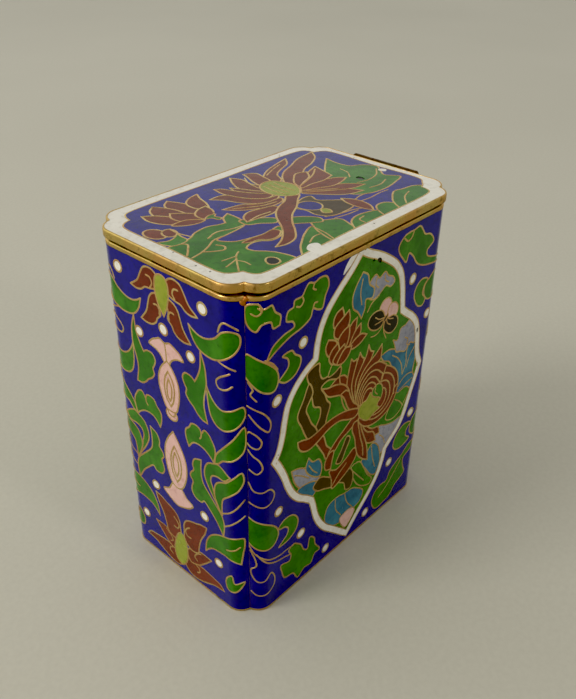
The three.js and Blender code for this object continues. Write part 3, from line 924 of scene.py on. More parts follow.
def leafy_ground(p):
    """Leaves, clouds and branches behind the flowers of the front window."""
    # right side
    p.cell("turquoise", [
        (8.0, 46.5, 1), (10.9, 46.7), (13.4, 45.8), (15.4, 46.0), (17.5, 46.6), (20.0, 45.0),
        (21.2, 42.5), (21.4, 39.5), (21.0, 36.5), (21.8, 34.4), (20.0, 31.5), (17.5, 28.6),
        (15.0, 28.0), (13.0, 30.5), (14.0, 34.0), (13.6, 38.0), (12.5, 41.5), (11.3, 43.6),
        (9.2, 44.8)])
    p.wire([(12.4, 44.6), (14.6, 42.8), (16.2, 40.4), (16.9, 37.6)], VEIN)
    p.wire([(18.4, 45.6), (17.6, 42.8), (17.9, 40.0), (17.0, 37.8)], VEIN)
    p.wire([(20.9, 43.4), (19.0, 41.2), (18.2, 38.8)], VEIN)
    p.wire([(21.3, 36.0), (19.4, 36.6), (17.2, 36.2), (15.9, 35.0)], VEIN)
    p.wire([(21.0, 34.6), (18.6, 34.2), (16.4, 33.6)], VEIN)
    p.cell("green", [
        (14.4, 33.6), (16.4, 33.2), (18.8, 33.4), (20.6, 31.8), (19.2, 29.6), (17.4, 27.4),
        (14.8, 26.8), (12.2, 28.2), (13.4, 31.0)], VEIN)
    p.wire([(15.2, 31.8), (17.2, 30.2), (18.6, 28.4)], VEIN)
    p.cell("grey", [
        (12.0, 48.5, 1), (13.6, 47.8), (14.4, 50.2), (16.0, 50.4), (17.4, 51.0), (19.4, 48.9),
        (21.0, 46.0), (20.2, 44.2), (18.6, 44.9), (17.0, 43.6), (15.2, 44.3), (13.6, 44.9),
        (12.9, 46.6)], FINE)
    p.wire([(16.4, 47.2), (17.6, 46.2), (17.4, 45.0), (18.6, 44.4)], VEIN)
    # lower right
    p.cell("grey", [
        (9.6, 27.6), (12.2, 26.6), (15.2, 25.6), (18.6, 25.4), (16.8, 22.8), (13.8, 20.8),
        (11.4, 18.8), (8.6, 21.4), (8.2, 25.0)], FINE)
    p.wire([(10.4, 24.9), (12.0, 23.2), (12.8, 21.2)], VEIN)
    p.cell("turquoise", [
        (4.4, 21.0), (6.2, 22.6), (8.0, 23.9), (10.0, 22.4), (11.2, 19.6), (11.6, 16.4),
        (10.2, 13.8), (8.4, 14.8), (6.4, 17.6)])
    p.wire([(7.8, 23.4), (8.6, 19.6), (9.8, 16.2)], VEIN)
    # below
    p.cell("turquoise", [
        (-7.4, 12.6), (-6.4, 15.6), (-3.6, 16.2), (-0.8, 15.5), (1.6, 15.2), (3.6, 14.0),
        (6.0, 11.6), (5.2, 9.2), (2.4, 8.4), (-1.6, 7.6), (-4.4, 8.4), (-6.6, 10.4)], CURL)
    p.wire([(-0.8, 15.4), (0.2, 12.2), (2.2, 9.4)], VEIN)
    p.wire([(-4.0, 15.8), (-3.6, 12.6), (-1.6, 9.6)], VEIN)
    p.cell("pink", [
        (-2.0, 8.7), (0.2, 9.4), (2.6, 8.9), (3.4, 7.6), (1.9, 5.4), (0.4, 4.4),
        (-1.2, 6.2)], VEIN)
    p.cell("green", [
        (0.9, 21.6), (3.6, 21.6), (5.6, 18.6), (7.2, 15.6), (9.0, 13.2), (8.4, 12.2), (5.4, 13.4),
        (2.8, 16.2)])
    p.wire([(1.4, 20.4), (3.6, 17.6), (6.0, 14.6)], VEIN)
    # lower left
    p.cell("grey", [
        (-18.3, 33.2, 1), (-16.4, 32.7), (-14.3, 31.4), (-11.8, 29.0), (-9.4, 26.6), (-11.0, 25.4),
        (-13.4, 25.2), (-15.6, 27.0), (-17.4, 29.8)])
    p.cell("turquoise", [
        (-16.4, 27.0), (-13.2, 26.9), (-10.6, 25.4), (-10.9, 22.8), (-12.6, 22.3),
        (-15.0, 24.2)], CURL)
    p.cell("turquoise", [
        (-13.4, 33.4, 1), (-14.2, 31.0), (-12.4, 28.2), (-9.7, 26.5), (-9.2, 28.8), (-10.3, 31.2),
        (-12.0, 31.6)])
    p.wire([(-13.2, 31.4), (-12.0, 29.4), (-10.6, 27.8)], VEIN)
    p.wire([(-17.4, 31.6), (-15.4, 30.2), (-13.2, 28.2)], VEIN)
    # top
    p.cell("grey", [
        (2.0, 62.4), (2.3, 65.4), (4.0, 66.4), (5.25, 65.2), (6.9, 65.9), (8.2, 64.6), (9.6, 63.9),
        (10.4, 62.6), (9.2, 61.9), (7.6, 62.7), (5.7, 61.7), (4.0, 61.2)], FINE)
    p.wire([(4.4, 65.6), (4.2, 64.2), (5.2, 63.2)], VEIN)
    p.wire([(7.0, 65.2), (7.2, 64.0), (8.4, 63.2)], VEIN)
    p.cell("turquoise", [
        (-0.1, 68.4, 1), (-1.9, 66.2), (-2.7, 64.2), (-2.3, 61.8), (-0.9, 60.5), (0.4, 58.6, 1),
        (1.3, 60.4), (1.4, 62.2), (3.4, 61.8), (3.8, 63.6), (2.2, 65.1), (1.5, 67.3)])
    p.wire([(0.0, 67.0), (-0.4, 64.4), (0.2, 61.6)], VEIN)
    p.wire([(2.2, 59.2), (3.4, 60.6), (5.6, 61.4)])
    # branches
    p.cell("olive", [
        (-14.6, 53.6), (-13.7, 50.2), (-13.1, 47.6), (-12.4, 45.2), (-10.6, 44.0), (-10.5, 42.0),
        (-11.8, 39.2), (-9.3, 37.6), (-8.4, 40.6), (-7.6, 43.2), (-8.6, 44.6), (-9.3, 46.4),
        (-10.5, 48.6), (-8.6, 49.2), (-5.4, 48.2), (-4.9, 50.4), (-8.2, 50.2), (-10.3, 50.5),
        (-11.2, 52.4), (-11.4, 54.4)])
    p.cell("olive", [
        (-14.0, 51.2), (-15.5, 48.4), (-17.0, 45.4), (-15.7, 42.2), (-14.6, 39.6), (-13.4, 37.8),
        (-11.2, 38.4), (-11.5, 39.6), (-12.9, 41.6), (-13.9, 43.8), (-14.6, 45.7), (-13.6, 47.4),
        (-12.9, 48.6)])
    p.cell("olive", [
        (-11.6, 24.6), (-9.6, 25.8), (-7.2, 24.4), (-5.0, 22.4), (-4.4, 20.2), (-6.2, 20.8),
        (-8.2, 21.8), (-10.4, 22.8)], CURL)
    p.cell("olive", [
        (-3.4, 20.6), (-1.4, 18.8), (-0.6, 16.4), (1.0, 16.0), (1.8, 18.6), (0.8, 21.4),
        (-1.2, 22.4)], CURL)
    # strips below the long petal
    p.cell("brown", [
        (-11.6, 36.6), (-9.4, 36.6), (-8.0, 33.2), (-6.4, 31.0), (-7.8, 29.6), (-9.0, 31.8),
        (-10.4, 34.2)])
    p.cell("brown", [
        (-7.4, 30.4), (-5.4, 32.4), (-3.0, 33.8), (0.4, 35.6), (2.6, 35.6), (2.0, 34.0),
        (-0.4, 32.9), (-3.4, 31.8), (-5.4, 30.2)])
    p.cell("brown", [
        (-8.2, 29.0), (-6.8, 30.6), (-5.6, 30.4), (-5.9, 28.2), (-6.3, 26.0, 1), (-8.0, 26.8)])
    p.cell("olive", [
        (-1.4, 31.6), (-0.3, 30.6), (-1.6, 28.0), (-3.0, 25.6), (-4.6, 26.4), (-3.0, 29.0)], CURL)
    p.cell("brown", [
        (-6.6, 25.6), (-4.3, 24.6), (-1.2, 25.6), (1.4, 26.8), (2.4, 24.8), (1.0, 22.6),
        (-1.8, 21.0), (-5.4, 20.0), (-5.8, 22.6)])
    p.wire([(-5.6, 20.6), (-3.4, 22.8), (-1.0, 24.2)], VEIN)


def window_picture(pen):
    leafy_ground(pen)
    bud(pen)
    chrysanthemum(pen)
    butterfly(pen)


def long_wall(pen):
    corner_leaves(pen)
    groove_wires(pen)
    right_leaves(pen)
    cartouche(pen, window_picture)
    for u, z in ((-16.0, 61.0), (-22.5, 52.1), (-21.8, 25.4), (-15.0, 14.3), (-6.5, 3.2),
                 (7.7, 3.6), (15.5, 13.8), (16.8, 60.6), (24.0, 49.8), (22.3, 24.4)):
        pen.dot(u, z)
    # white enamel that ran over the wire, and pinholes in the border
    pen.cell("white", [
        (-5.9, 70.0), (-5.2, 71.6), (-3.6, 73.0), (-1.7, 73.4), (-2.6, 72.3),
        (-4.2, 70.9)], NO_WIRE)
    pen.cell("pit", [(4.0, 69.5), (4.7, 69.6), (5.5, 68.9), (5.3, 68.4), (4.5, 68.7)], NO_WIRE)
    pen.cell("pit", [(2.5, 69.9), (3.1, 69.9), (3.4, 69.5), (2.8, 69.4)], NO_WIRE)
    pen.cell("pit", [(20.6, 47.4), (20.9, 47.6), (21.2, 46.6), (21.0, 46.2), (20.7, 46.6)],
             NO_WIRE)


FLOWER_Z = 38.0      # height of the round flower on the back


def plain_long_wall(pen):
    """The back keeps the window and the scrolls, with one round flower in the window."""
    for side in (pen, pen.flipped()):
        corner_leaves(side)
        groove_wires(side)

    def flower(p):
        def petal(angle, near, far, half):
            c, s = math.cos(angle), math.sin(angle)
            slim, wide = near + (far - near) * 0.35, near + (far - near) * 0.7
            shape = [(near, 0.0), (slim, half * 0.8), (wide, half), (far, 0.0, 1),
                     (wide, -half), (slim, -half * 0.8)]
            p.cell("brown", [(x * c - y * s, FLOWER_Z + x * s + y * c, *sharp)
                             for x, y, *sharp in shape])

        for side in (1, -1):
            for z, turn in ((52.0, 0.9), (24.0, -0.9)):
                p.wire([(side * 1.0, FLOWER_Z + (z - FLOWER_Z) * 0.4),
                        (side * 5.0, z - turn * 3.0), (side * 8.5, z + turn * 3.5),
                        (side * 4.0, z + turn * 8.0)])
                p.cell("green", [(side * 2.0, z - turn * 2.0, 1), (side * 5.5, z + turn * 1.0),
                                 (side * 6.5, z + turn * 5.0), (side * 2.5, z + turn * 9.5, 1),
                                 (side * 1.2, z + turn * 4.0)])
                p.cell("turquoise", [
                    (side * 8.2, z - turn * 4.0, 1), (side * 11.5, z - turn * 2.5),
                    (side * 12.0, z + turn * 1.5, 1), (side * 9.0, z + turn * 0.5)])
        for count, start, near, far, half in ((12, 0, 4.0, 13.0, 1.9), (10, 0.5, 3.0, 9.2, 1.7),
                                              (8, 0, 1.5, 6.2, 1.5)):
            for i in range(count):
                petal(2 * math.pi * (i + start) / count, near, far, half)
        p.oval("yellowgreen", 0.0, FLOWER_Z, 2.4)
        for i in range(5):
            t = 2 * math.pi * i / 5
            p.oval("yellowgreen", 1.2 * math.cos(t), FLOWER_Z + 1.2 * math.sin(t), 0.6,
                   width=0.28)

    cartouche(pen, flower)
    for u, z in ((16.0, 61.0), (22.5, 52.1), (21.8, 25.4), (15.0, 14.3), (6.5, 3.2)):
        pen.dot(u, z)
        pen.dot(-u, z)


# ---------------------------------------------------------------- the lid

LID_WINDOW = [
    (28.3, -11.6), (28.3, 0.0), (28.3, 12.2), (27.6, 13.4), (26.6, 14.0), (25.6, 14.4, 1),
    (25.4, 15.6), (24.8, 16.6), (23.6, 17.2), (0.0, 17.2), (-22.6, 17.0), (-23.8, 16.6),
    (-24.5, 15.5), (-24.8, 14.1, 1), (-26.0, 13.8), (-27.0, 13.1), (-27.5, 12.0), (-27.5, 0.0),
    (-27.5, -11.8), (-26.9, -12.9), (-25.9, -13.6), (-24.8, -14.1, 1), (-24.5, -15.4),
    (-23.8, -16.4), (-22.6, -16.8), (0.0, -16.8), (23.0, -16.8), (24.2, -16.3), (24.7, -15.2),
    (24.9, -14.1, 1), (26.0, -13.6), (27.0, -12.8)]


def lid_picture(p):
    """A large chrysanthemum, two buds and leaves, inside a white border."""
    curve = spline(LID_WINDOW)
    p.panel.cell("cobalt", curve, NO_WIRE)
    # leaves at the left
    p.cell("green", [
        (-28.2, 0.6), (-25.8, 0.6), (-22.25, 0.9), (-20.6, 1.8), (-17.3, 2.2), (-15.2, 1.4),
        (-13.9, 1.1, 1), (-12.7, 2.9), (-10.8, 3.8, 1), (-10.9, 0.6), (-12.0, -1.8), (-14.5, -2.4),
        (-17.2, -2.6), (-19.8, -3.0), (-18.2, -5.4), (-15.4, -6.4), (-11.6, -7.0), (-8.4, -6.6),
        (-8.6, -8.4), (-11.4, -9.6), (-13.6, -9.6), (-15.0, -8.4), (-16.8, -8.0), (-18.6, -8.8),
        (-18.4, -10.2), (-17.0, -12.0), (-16.0, -14.0), (-15.8, -17.6), (-26.0, -18.6),
        (-28.2, -12.0), (-28.4, -4.0)])
    p.wire([(-20.4, -1.4), (-17.6, -0.6), (-14.6, -1.6), (-12.2, -1.9)])
    p.cell("green", [
        (-11.6, 0.0), (-9.4, -1.0), (-6.6, -3.2), (-6.2, -4.6), (-7.6, -5.2), (-9.8, -3.4),
        (-11.8, -2.2)])
    p.wire([(-27.2, -3.8), (-25.6, -2.2), (-24.4, -0.6), (-25.4, 0.6)])
    p.wire([(-27.2, -5.0), (-24.8, -4.6), (-22.6, -3.8), (-20.2, -2.6), (-18.2, -2.5)])
    p.wire([(-24.6, -4.5), (-23.0, -5.8), (-21.4, -6.5), (-20.6, -5.6), (-21.2, -4.2)])
    p.wire([(-25.2, -13.6), (-23.4, -11.4), (-21.6, -9.4), (-20.4, -8.7)], VEIN)
    p.wire([(-25.6, -11.2), (-24.0, -10.8), (-22.6, -10.4)], VEIN)
    p.wire([(-22.4, -13.4), (-22.3, -12.0), (-22.8, -10.8)], VEIN)
    p.wire([(-24.6, -9.2), (-23.2, -9.4), (-21.8, -9.6)], VEIN)
    p.cell("black", [
        (-20.2, -15.4), (-19.6, -14.0), (-18.6, -13.6), (-17.8, -14.6), (-18.2, -16.0),
        (-19.4, -16.2)], CURL)
    p.cell("brown", [
        (-17.6, -6.8), (-15.4, -6.6), (-12.6, -6.9), (-10.2, -6.8), (-9.6, -8.0), (-11.4, -9.3),
        (-13.4, -9.2), (-14.8, -7.9), (-16.6, -7.6)], FINE)
    # small bud and big bud
    p.cell("green", [
        (-27.4, 3.4), (-25.6, 2.6), (-23.6, 3.2), (-22.4, 5.0), (-23.0, 2.4), (-23.2, 0.6),
        (-26.4, 0.6)], FINE)
    p.oval("brown", -25.5, 6.3, 1.7, 2.3, 0.15)
    p.oval("brown", -23.5, 4.9, 1.3, 1.6, -0.4)
    p.wire([(-22.4, 6.2), (-22.5, 3.6), (-21.9, 1.2)])
    p.cell("brown", [
        (-14.6, 16.0, 1), (-16.4, 14.6), (-17.0, 11.6), (-15.6, 8.4), (-13.0, 7.6), (-12.6, 10.8),
        (-13.6, 14.0)])
    p.cell("brown", [
        (-8.4, 14.6, 1), (-11.0, 14.0), (-13.0, 12.4), (-13.2, 9.6), (-11.6, 8.0), (-10.2, 10.0),
        (-9.4, 12.6)])
    p.cell("brown", [
        (-18.2, 15.8, 1), (-20.0, 14.4), (-20.8, 11.4), (-19.6, 8.0), (-17.0, 7.0), (-16.0, 9.6),
        (-16.6, 13.0)])
    p.cell("brown", [
        (-22.4, 13.8, 1), (-22.9, 11.4), (-22.0, 8.6), (-19.9, 6.6), (-18.4, 8.2), (-19.4, 10.8),
        (-20.8, 12.6)])
    p.cell("brown", [
        (-18.0, 11.2, 1), (-19.2, 9.4), (-18.6, 6.4), (-16.2, 4.6), (-14.4, 5.6), (-15.2, 8.4)])
    p.cell("brown", [
        (-21.2, 6.9), (-19.6, 7.2), (-17.6, 6.8), (-15.6, 4.6), (-17.4, 4.4), (-19.8, 5.4)])
    p.cell("brown", [
        (-11.2, 9.2, 1), (-13.6, 8.8), (-15.4, 7.2), (-15.2, 4.8), (-13.0, 5.2), (-11.6, 6.8)])
    p.cell("green", [
        (-15.2, 4.8), (-14.2, 4.4), (-13.6, 2.8), (-12.8, 3.2), (-13.2, 4.6), (-12.4, 5.2),
        (-13.8, 5.6)], VEIN)
    # right leaf and the greens along the front edge
    p.cell("green", [
        (14.6, 2.0), (17.6, 4.6), (20.8, 7.2), (24.4, 9.8, 1), (23.8, 6.4), (24.4, 3.4),
        (26.4, 2.2), (28.2, -0.6), (26.4, -3.0), (25.2, -4.8), (26.8, -7.6), (23.4, -8.8),
        (18.8, -9.4), (14.8, -8.6), (12.2, -6.4), (12.4, -2.0)])
    p.wire([(26.8, -1.6), (24.0, -3.6), (20.6, -4.2), (17.8, -3.6)], VEIN)
    p.wire([(21.6, 3.8), (21.0, 1.4), (19.2, -0.6)], VEIN)
    p.wire([(23.2, -6.6), (20.4, -7.4), (17.4, -7.0)], VEIN)
    p.cell("green", [
        (-14.6, -18.4), (-12.4, -15.2), (-10.0, -13.4), (-7.6, -11.9), (-4.4, -10.8),
        (-3.6, -12.4), (-5.4, -14.6), (-5.8, -18.4)])
    p.wire([(-9.6, -14.8), (-7.4, -13.8), (-5.4, -13.9)], VEIN)
    p.cell("green", [
        (-6.0, -18.4), (-5.6, -14.0), (-4.2, -11.0), (-2.6, -9.0), (-0.8, -10.6), (1.6, -12.4),
        (1.0, -15.0), (-0.6, -18.4)])
    p.wire([(-4.4, -10.8), (-4.8, -14.0), (-5.6, -16.6)], VEIN)
    p.cell("green", [
        (-0.4, -18.4), (1.0, -15.6), (2.2, -14.4), (4.4, -13.6), (7.2, -13.9), (9.6, -15.0),
        (9.0, -18.4)])
    p.wire([(3.4, -16.6), (3.8, -15.0), (5.6, -14.6)], VEIN)
    p.cell("green", [
        (8.6, -18.4), (9.2, -15.4), (11.0, -13.4), (13.4, -13.5), (14.6, -15.4), (14.6, -18.4)])
    p.cell("green", [
        (13.2, -18.4), (14.4, -15.0), (16.6, -13.0), (19.4, -11.5), (21.4, -12.0), (24.4, -12.6),
        (26.2, -14.6), (24.4, -18.4)])
    p.wire([(16.0, -16.6), (18.4, -14.6), (21.2, -13.6)], VEIN)
    # foliage under the flower, on blue
    p.cell("green", [
        (-7.6, -6.6), (-5.4, -5.2), (-2.6, -6.6), (-0.6, -9.4), (-1.4, -10.8), (-3.2, -9.8),
        (-5.2, -8.2)], FINE)
    p.cell("olive", [
        (-2.4, -4.2), (-0.8, -3.4), (0.2, -5.4), (0.0, -8.0), (1.6, -10.4), (4.6, -10.8),
        (8.2, -10.2), (9.0, -7.6), (7.0, -5.4), (5.4, -3.6), (6.0, -1.6), (3.8, -1.2)], FINE)
    p.cell("cobalt", [
        (0.2, -3.0), (2.4, -2.2), (4.2, -3.4), (4.4, -5.6), (2.6, -7.0), (0.8, -5.8)], FINE)
    p.cell("yellowgreen", [(1.6, -8.4), (2.8, -6.9), (3.6, -8.2), (2.8, -9.4)], VEIN)
    p.wire([(0.4, -9.8), (3.0, -10.8), (6.4, -11.4), (8.6, -12.4)])
    p.wire([(1.2, -11.4), (4.0, -12.0), (7.0, -12.2)], VEIN)
    p.cell("brown", [
        (9.2, -6.4, 1), (10.5, -8.4), (10.8, -10.6), (10.2, -12.8), (9.0, -14.2, 1), (8.3, -12.4),
        (8.1, -10.0), (8.4, -8.0)])
    p.wire([(10.8, -8.6), (12.8, -8.2), (14.8, -8.4)], VEIN)
    p.wire([(10.8, -9.9), (13.4, -10.2), (16.6, -10.0), (19.0, -10.2)], VEIN)
    # the flower: far petals first
    p.cell("brown", [
        (7.0, 5.0), (9.0, 8.4), (12.0, 10.8), (15.6, 12.2), (19.8, 14.0), (25.4, 14.8, 1),
        (23.4, 12.2), (20.0, 10.2), (16.4, 9.0), (13.4, 7.0), (10.4, 4.6)])
    p.cell("brown", [
        (5.0, 8.6), (6.8, 11.6), (9.8, 13.6), (13.2, 14.8), (18.2, 16.0, 1), (16.0, 13.6),
        (13.0, 12.4), (10.0, 10.8), (8.2, 8.0)])
    p.wire([(8.2, 12.0), (11.4, 13.4), (14.6, 14.4)], VEIN)
    p.cell("brown", [
        (3.4, 8.8), (3.6, 11.4), (4.6, 13.8), (5.2, 15.8, 1), (7.4, 14.4), (7.0, 11.6),
        (6.4, 9.4)])
    p.cell("brown", [
        (1.9, 16.2, 1), (0.4, 14.0), (-0.8, 11.0), (-0.4, 7.6), (1.6, 5.6), (3.4, 8.2),
        (2.6, 11.0), (3.0, 13.8)])
    p.wire([(4.0, 14.2), (2.6, 11.6), (2.0, 8.4)], VEIN)
    p.cell("brown", [
        (-1.8, 12.4, 1), (-2.6, 9.6), (-2.2, 6.6), (0.2, 4.4), (1.8, 5.6), (0.4, 8.2),
        (-0.6, 10.4)])
    p.cell("brown", [
        (-4.5, 14.0, 1), (-4.9, 11.4), (-4.4, 8.6), (-3.0, 5.8), (-0.4, 3.6), (2.0, 4.4),
        (0.0, 6.6), (-1.6, 9.2), (-2.7, 11.8), (-3.4, 13.2)])
    p.cell("brown", [
        (-8.6, 10.8, 1), (-6.4, 10.9), (-4.8, 10.2), (-4.0, 8.0), (-2.6, 5.4), (-0.4, 3.6),
        (2.2, 3.2), (0.4, 2.0), (-2.0, 2.2), (-4.4, 3.8), (-6.0, 6.4), (-7.0, 8.8)])
    p.cell("brown", [
        (-10.2, 5.7, 1), (-8.4, 5.4), (-6.2, 4.9), (-4.4, 3.4), (-2.0, 2.3), (1.4, 1.9),
        (0.8, 0.8), (-2.2, 0.4), (-5.4, 1.4), (-7.8, 2.9), (-9.4, 4.5)])
    p.wire([(-8.6, 4.6), (-6.2, 3.2), (-3.6, 1.8), (-0.6, 1.2)])
    p.cell("brown", [
        (-11.0, -1.4, 1), (-10.2, 0.3), (-8.0, 1.5), (-5.2, 1.1), (-2.4, 0.2), (-2.0, -1.0),
        (-5.0, -2.0), (-8.2, -1.7)])
    p.wire([(-10.4, -1.3), (-7.6, -0.9), (-4.8, -1.2)])
    # right fan, outer petals under the inner ones
    p.cell("brown", [
        (6.0, 0.6), (8.0, -2.2), (10.4, -5.0), (12.6, -6.4), (15.4, -7.0, 1), (14.2, -4.6),
        (12.4, -2.4), (10.0, 0.2), (8.0, 1.6)])
    p.cell("brown", [
        (6.4, 1.0), (9.2, -1.2), (12.4, -3.4), (15.2, -4.8), (18.2, -5.2, 1), (16.4, -2.8),
        (13.6, -0.8), (10.6, 1.2), (8.2, 2.2)])
    p.cell("brown", [
        (7.0, 1.6), (10.0, 0.2), (13.4, -1.2), (16.2, -1.0), (18.6, -0.2, 1), (17.0, 1.2),
        (14.4, 2.2), (11.2, 2.8), (8.4, 2.8)])
    p.cell("brown", [
        (8.0, 2.4), (11.0, 2.4), (14.2, 2.0), (17.4, 2.6, 1), (19.0, 8.4, 1), (15.4, 7.2),
        (12.2, 5.6), (9.4, 4.4)])
    p.cell("brown", [
        (8.4, 3.4), (10.6, 4.2), (13.6, 5.4), (15.4, 7.6, 1), (13.0, 8.4), (10.8, 7.0),
        (8.8, 5.0)])
    p.wire([(9.4, 3.6), (12.0, 4.4), (15.0, 5.6), (17.8, 7.4)])
    p.wire([(7.6, 0.8), (10.4, -1.2), (13.0, -3.0)])
    # the long petal that sweeps to the left
    p.cell("brown", [
        (-14.9, -11.9, 1), (-12.2, -10.7), (-10.0, -9.0), (-8.3, -7.2), (-6.4, -4.4), (-4.4, -2.2),
        (-2.0, -0.7), (0.8, 0.4), (3.0, 1.9), (5.6, 1.6), (5.0, 0.4), (3.2, -0.8), (0.4, -3.0),
        (-2.8, -4.8), (-5.6, -7.3), (-7.6, -9.7), (-10.2, -12.0), (-12.8, -12.5)])
    p.cell("yellowgreen", [
        (4.9, 9.7), (2.6, 8.6), (1.5, 6.2), (1.6, 3.6), (2.8, 1.8), (5.0, 0.7), (7.0, 2.0),
        (8.2, 4.4), (7.8, 7.2), (6.6, 9.2)])
    for x0, x1 in ((3.4, 3.2), (4.8, 4.4), (6.2, 5.8)):
        p.wire([(x0, 8.2), (x0 - 0.3, 5.4), (x1 + 0.2, 2.6)], 0.28)
    # the white border over it all, then what ran and popped in the kiln
    p.panel.cell("white", outline(LID, -0.3, 10, 5), VEIN, hole=curve)
    p.cell("pit", [
        (19.6, -2.2), (20.0, -1.5), (20.7, -1.7), (20.9, -2.8), (20.4, -3.5),
        (19.7, -3.2)], NO_WIRE)
    p.cell("white", [(26.4, -2.4), (27.4, -2.0), (28.0, -3.2), (27.0, -3.8)], NO_WIRE)
    p.cell("white", [
        (-12.0, -16.2), (-10.2, -15.2), (-8.9, -15.8), (-9.4, -17.2), (-12.0, -17.4)], NO_WIRE)
    for x, y in ((-28.6, -7.4), (-28.4, -10.5), (18.9, 18.4), (29.0, 6.0), (4.2, -17.9)):
        p.cell("pit", [(x - 0.25, y), (x, y + 0.2), (x + 0.25, y), (x, y - 0.2)], NO_WIRE, 0.2)


# ---------------------------------------------------------------- materials

def linear(r, g, b):
    def one(v):
        v /= 255
        return v / 12.92 if v <= 0.04045 else ((v + 0.055) / 1.055) ** 2.4
    return one(r), one(g), one(b), 1.0


class Nodes:
    """The node tree of a material or world, with a few helpers."""

    def __init__(self, owner, coords="Object"):
        owner.use_nodes = True
        self.owner = owner
        self.tree = owner.node_tree
        self.coords = self.add("ShaderNodeTexCoord").outputs[coords]

    def add(self, kind, **inputs):
        return self.fill(self.tree.nodes.new(kind), **inputs)

    def fill(self, node, **inputs):
        for key, value in inputs.items():
            self.feed(node.inputs[key.replace("_", " ")], value)
        return node

    def feed(self, socket, value):
        if hasattr(value, "is_linked"):
            self.tree.links.new(value, socket)
        else:
            socket.default_value = value

    def noise(self, scale, detail=3.0, rough=0.5, coords=None, seed=0.0):
        shifted = self.add("ShaderNodeMapping", Vector=coords or self.coords,
                           Location=(seed * 0.013, seed * 0.007, seed * 0.011))
        node = self.add("ShaderNodeTexNoise", Vector=shifted.outputs[0], Scale=scale,
                        Detail=detail, Roughness=rough)
        return node.outputs["Fac"]

    def stretch(self, scale, turn=(0, 0, 0)):
        node = self.add("ShaderNodeMapping", Vector=self.coords, Scale=scale, Rotation=turn)
        return node.outputs[0]

    def ramp(self, fac, low, high, to_low=0.0, to_high=1.0, smooth=False):
        node = self.add("ShaderNodeMapRange", Value=fac, From_Min=low, From_Max=high,
                        To_Min=to_low, To_Max=to_high)
        node.interpolation_type = "SMOOTHSTEP" if smooth else "LINEAR"
        return node.outputs["Result"]

    def mix(self, fac, a, b):
        """A mix of two colours, which are the seventh and eighth sockets of a mix node."""
        node = self.add("ShaderNodeMix")
        node.data_type = "RGBA"
        for index, value in ((0, fac), (6, a), (7, b)):
            self.feed(node.inputs[index], value)
        return node.outputs[2]

    def math(self, op, a, b=0.0):
        node = self.add("ShaderNodeMath")
        node.operation = op
        self.feed(node.inputs[0], a)
        self.feed(node.inputs[1], b)
        return node.outputs[0]

    def bump(self, height, strength, distance, normal=None):
        node = self.add("ShaderNodeBump", Height=height, Strength=strength, Distance=distance)
        if normal is not None:
            self.feed(node.inputs["Normal"], normal)
        return node.outputs[0]

    def towards(self, direction):
        """How far the coordinates reach in a direction."""
        node = self.add("ShaderNodeVectorMath")
        node.operation = "DOT_PRODUCT"
        self.feed(node.inputs[0], self.coords)
        self.feed(node.inputs[1], direction)
        return node.outputs["Value"]

    def surface(self, **inputs):
        self.fill(self.tree.nodes["Principled BSDF"], **inputs)
        return self.owner


def new_material(name):
    return Nodes(bpy.data.materials.new(name))


def enamel(name, base, light, dark, rough, seed, cloud=0.5):
    """Fired and polished glass: clouded colour, pinholes, faint scratches and a wavy surface."""
    n = new_material(name)
    drift = n.noise(170.0, 3.0, 0.55, seed=seed)
    fine = n.noise(900.0, 2.0, 0.6, seed=seed + 3)
    colour = n.mix(n.ramp(drift, 0.38, 0.66, 0.0, cloud), linear(*base), linear(*light))
    colour = n.mix(n.ramp(fine, 0.5, 0.75, 0.0, 0.55), colour, linear(*dark))
    pits = n.add("ShaderNodeTexVoronoi", Vector=n.coords, Scale=520.0)
    spot = n.ramp(pits.outputs["Distance"], 0.05, 0.11, 1.0, 0.0, True)
    sparse = n.ramp(n.noise(260.0, 1.0, 0.5, seed=seed + 9), 0.6, 0.68, 0.0, 1.0)
    pinhole = n.math("MULTIPLY", spot, sparse)
    colour = n.mix(n.math("MULTIPLY", pinhole, 0.8), colour, linear(14, 12, 12))
    scratch = n.noise(60.0, 5.0, 0.7, n.stretch((14.0, 1.0, 3.0), (0.5, 0.3, 0.9)), seed)
    hair = n.ramp(scratch, 0.62, 0.66)
    roughness = n.ramp(n.noise(240.0, 3.0, 0.6, seed=seed + 5), 0.35, 0.75, rough, rough + 0.14)
    roughness = n.math("ADD", roughness, n.math("MULTIPLY", hair, 0.12))
    normal = n.bump(n.noise(330.0, 2.0, 0.5, seed=seed + 2), 0.35, 0.00012)
    normal = n.bump(n.noise(1500.0, 2.0, 0.5, seed=seed + 4), 0.12, 0.00003, normal)
    normal = n.bump(n.math("SUBTRACT", 1.0, pinhole), 0.6, 0.00006, normal)
    return n.surface(Base_Color=colour, Roughness=roughness, Normal=normal, IOR=1.5)


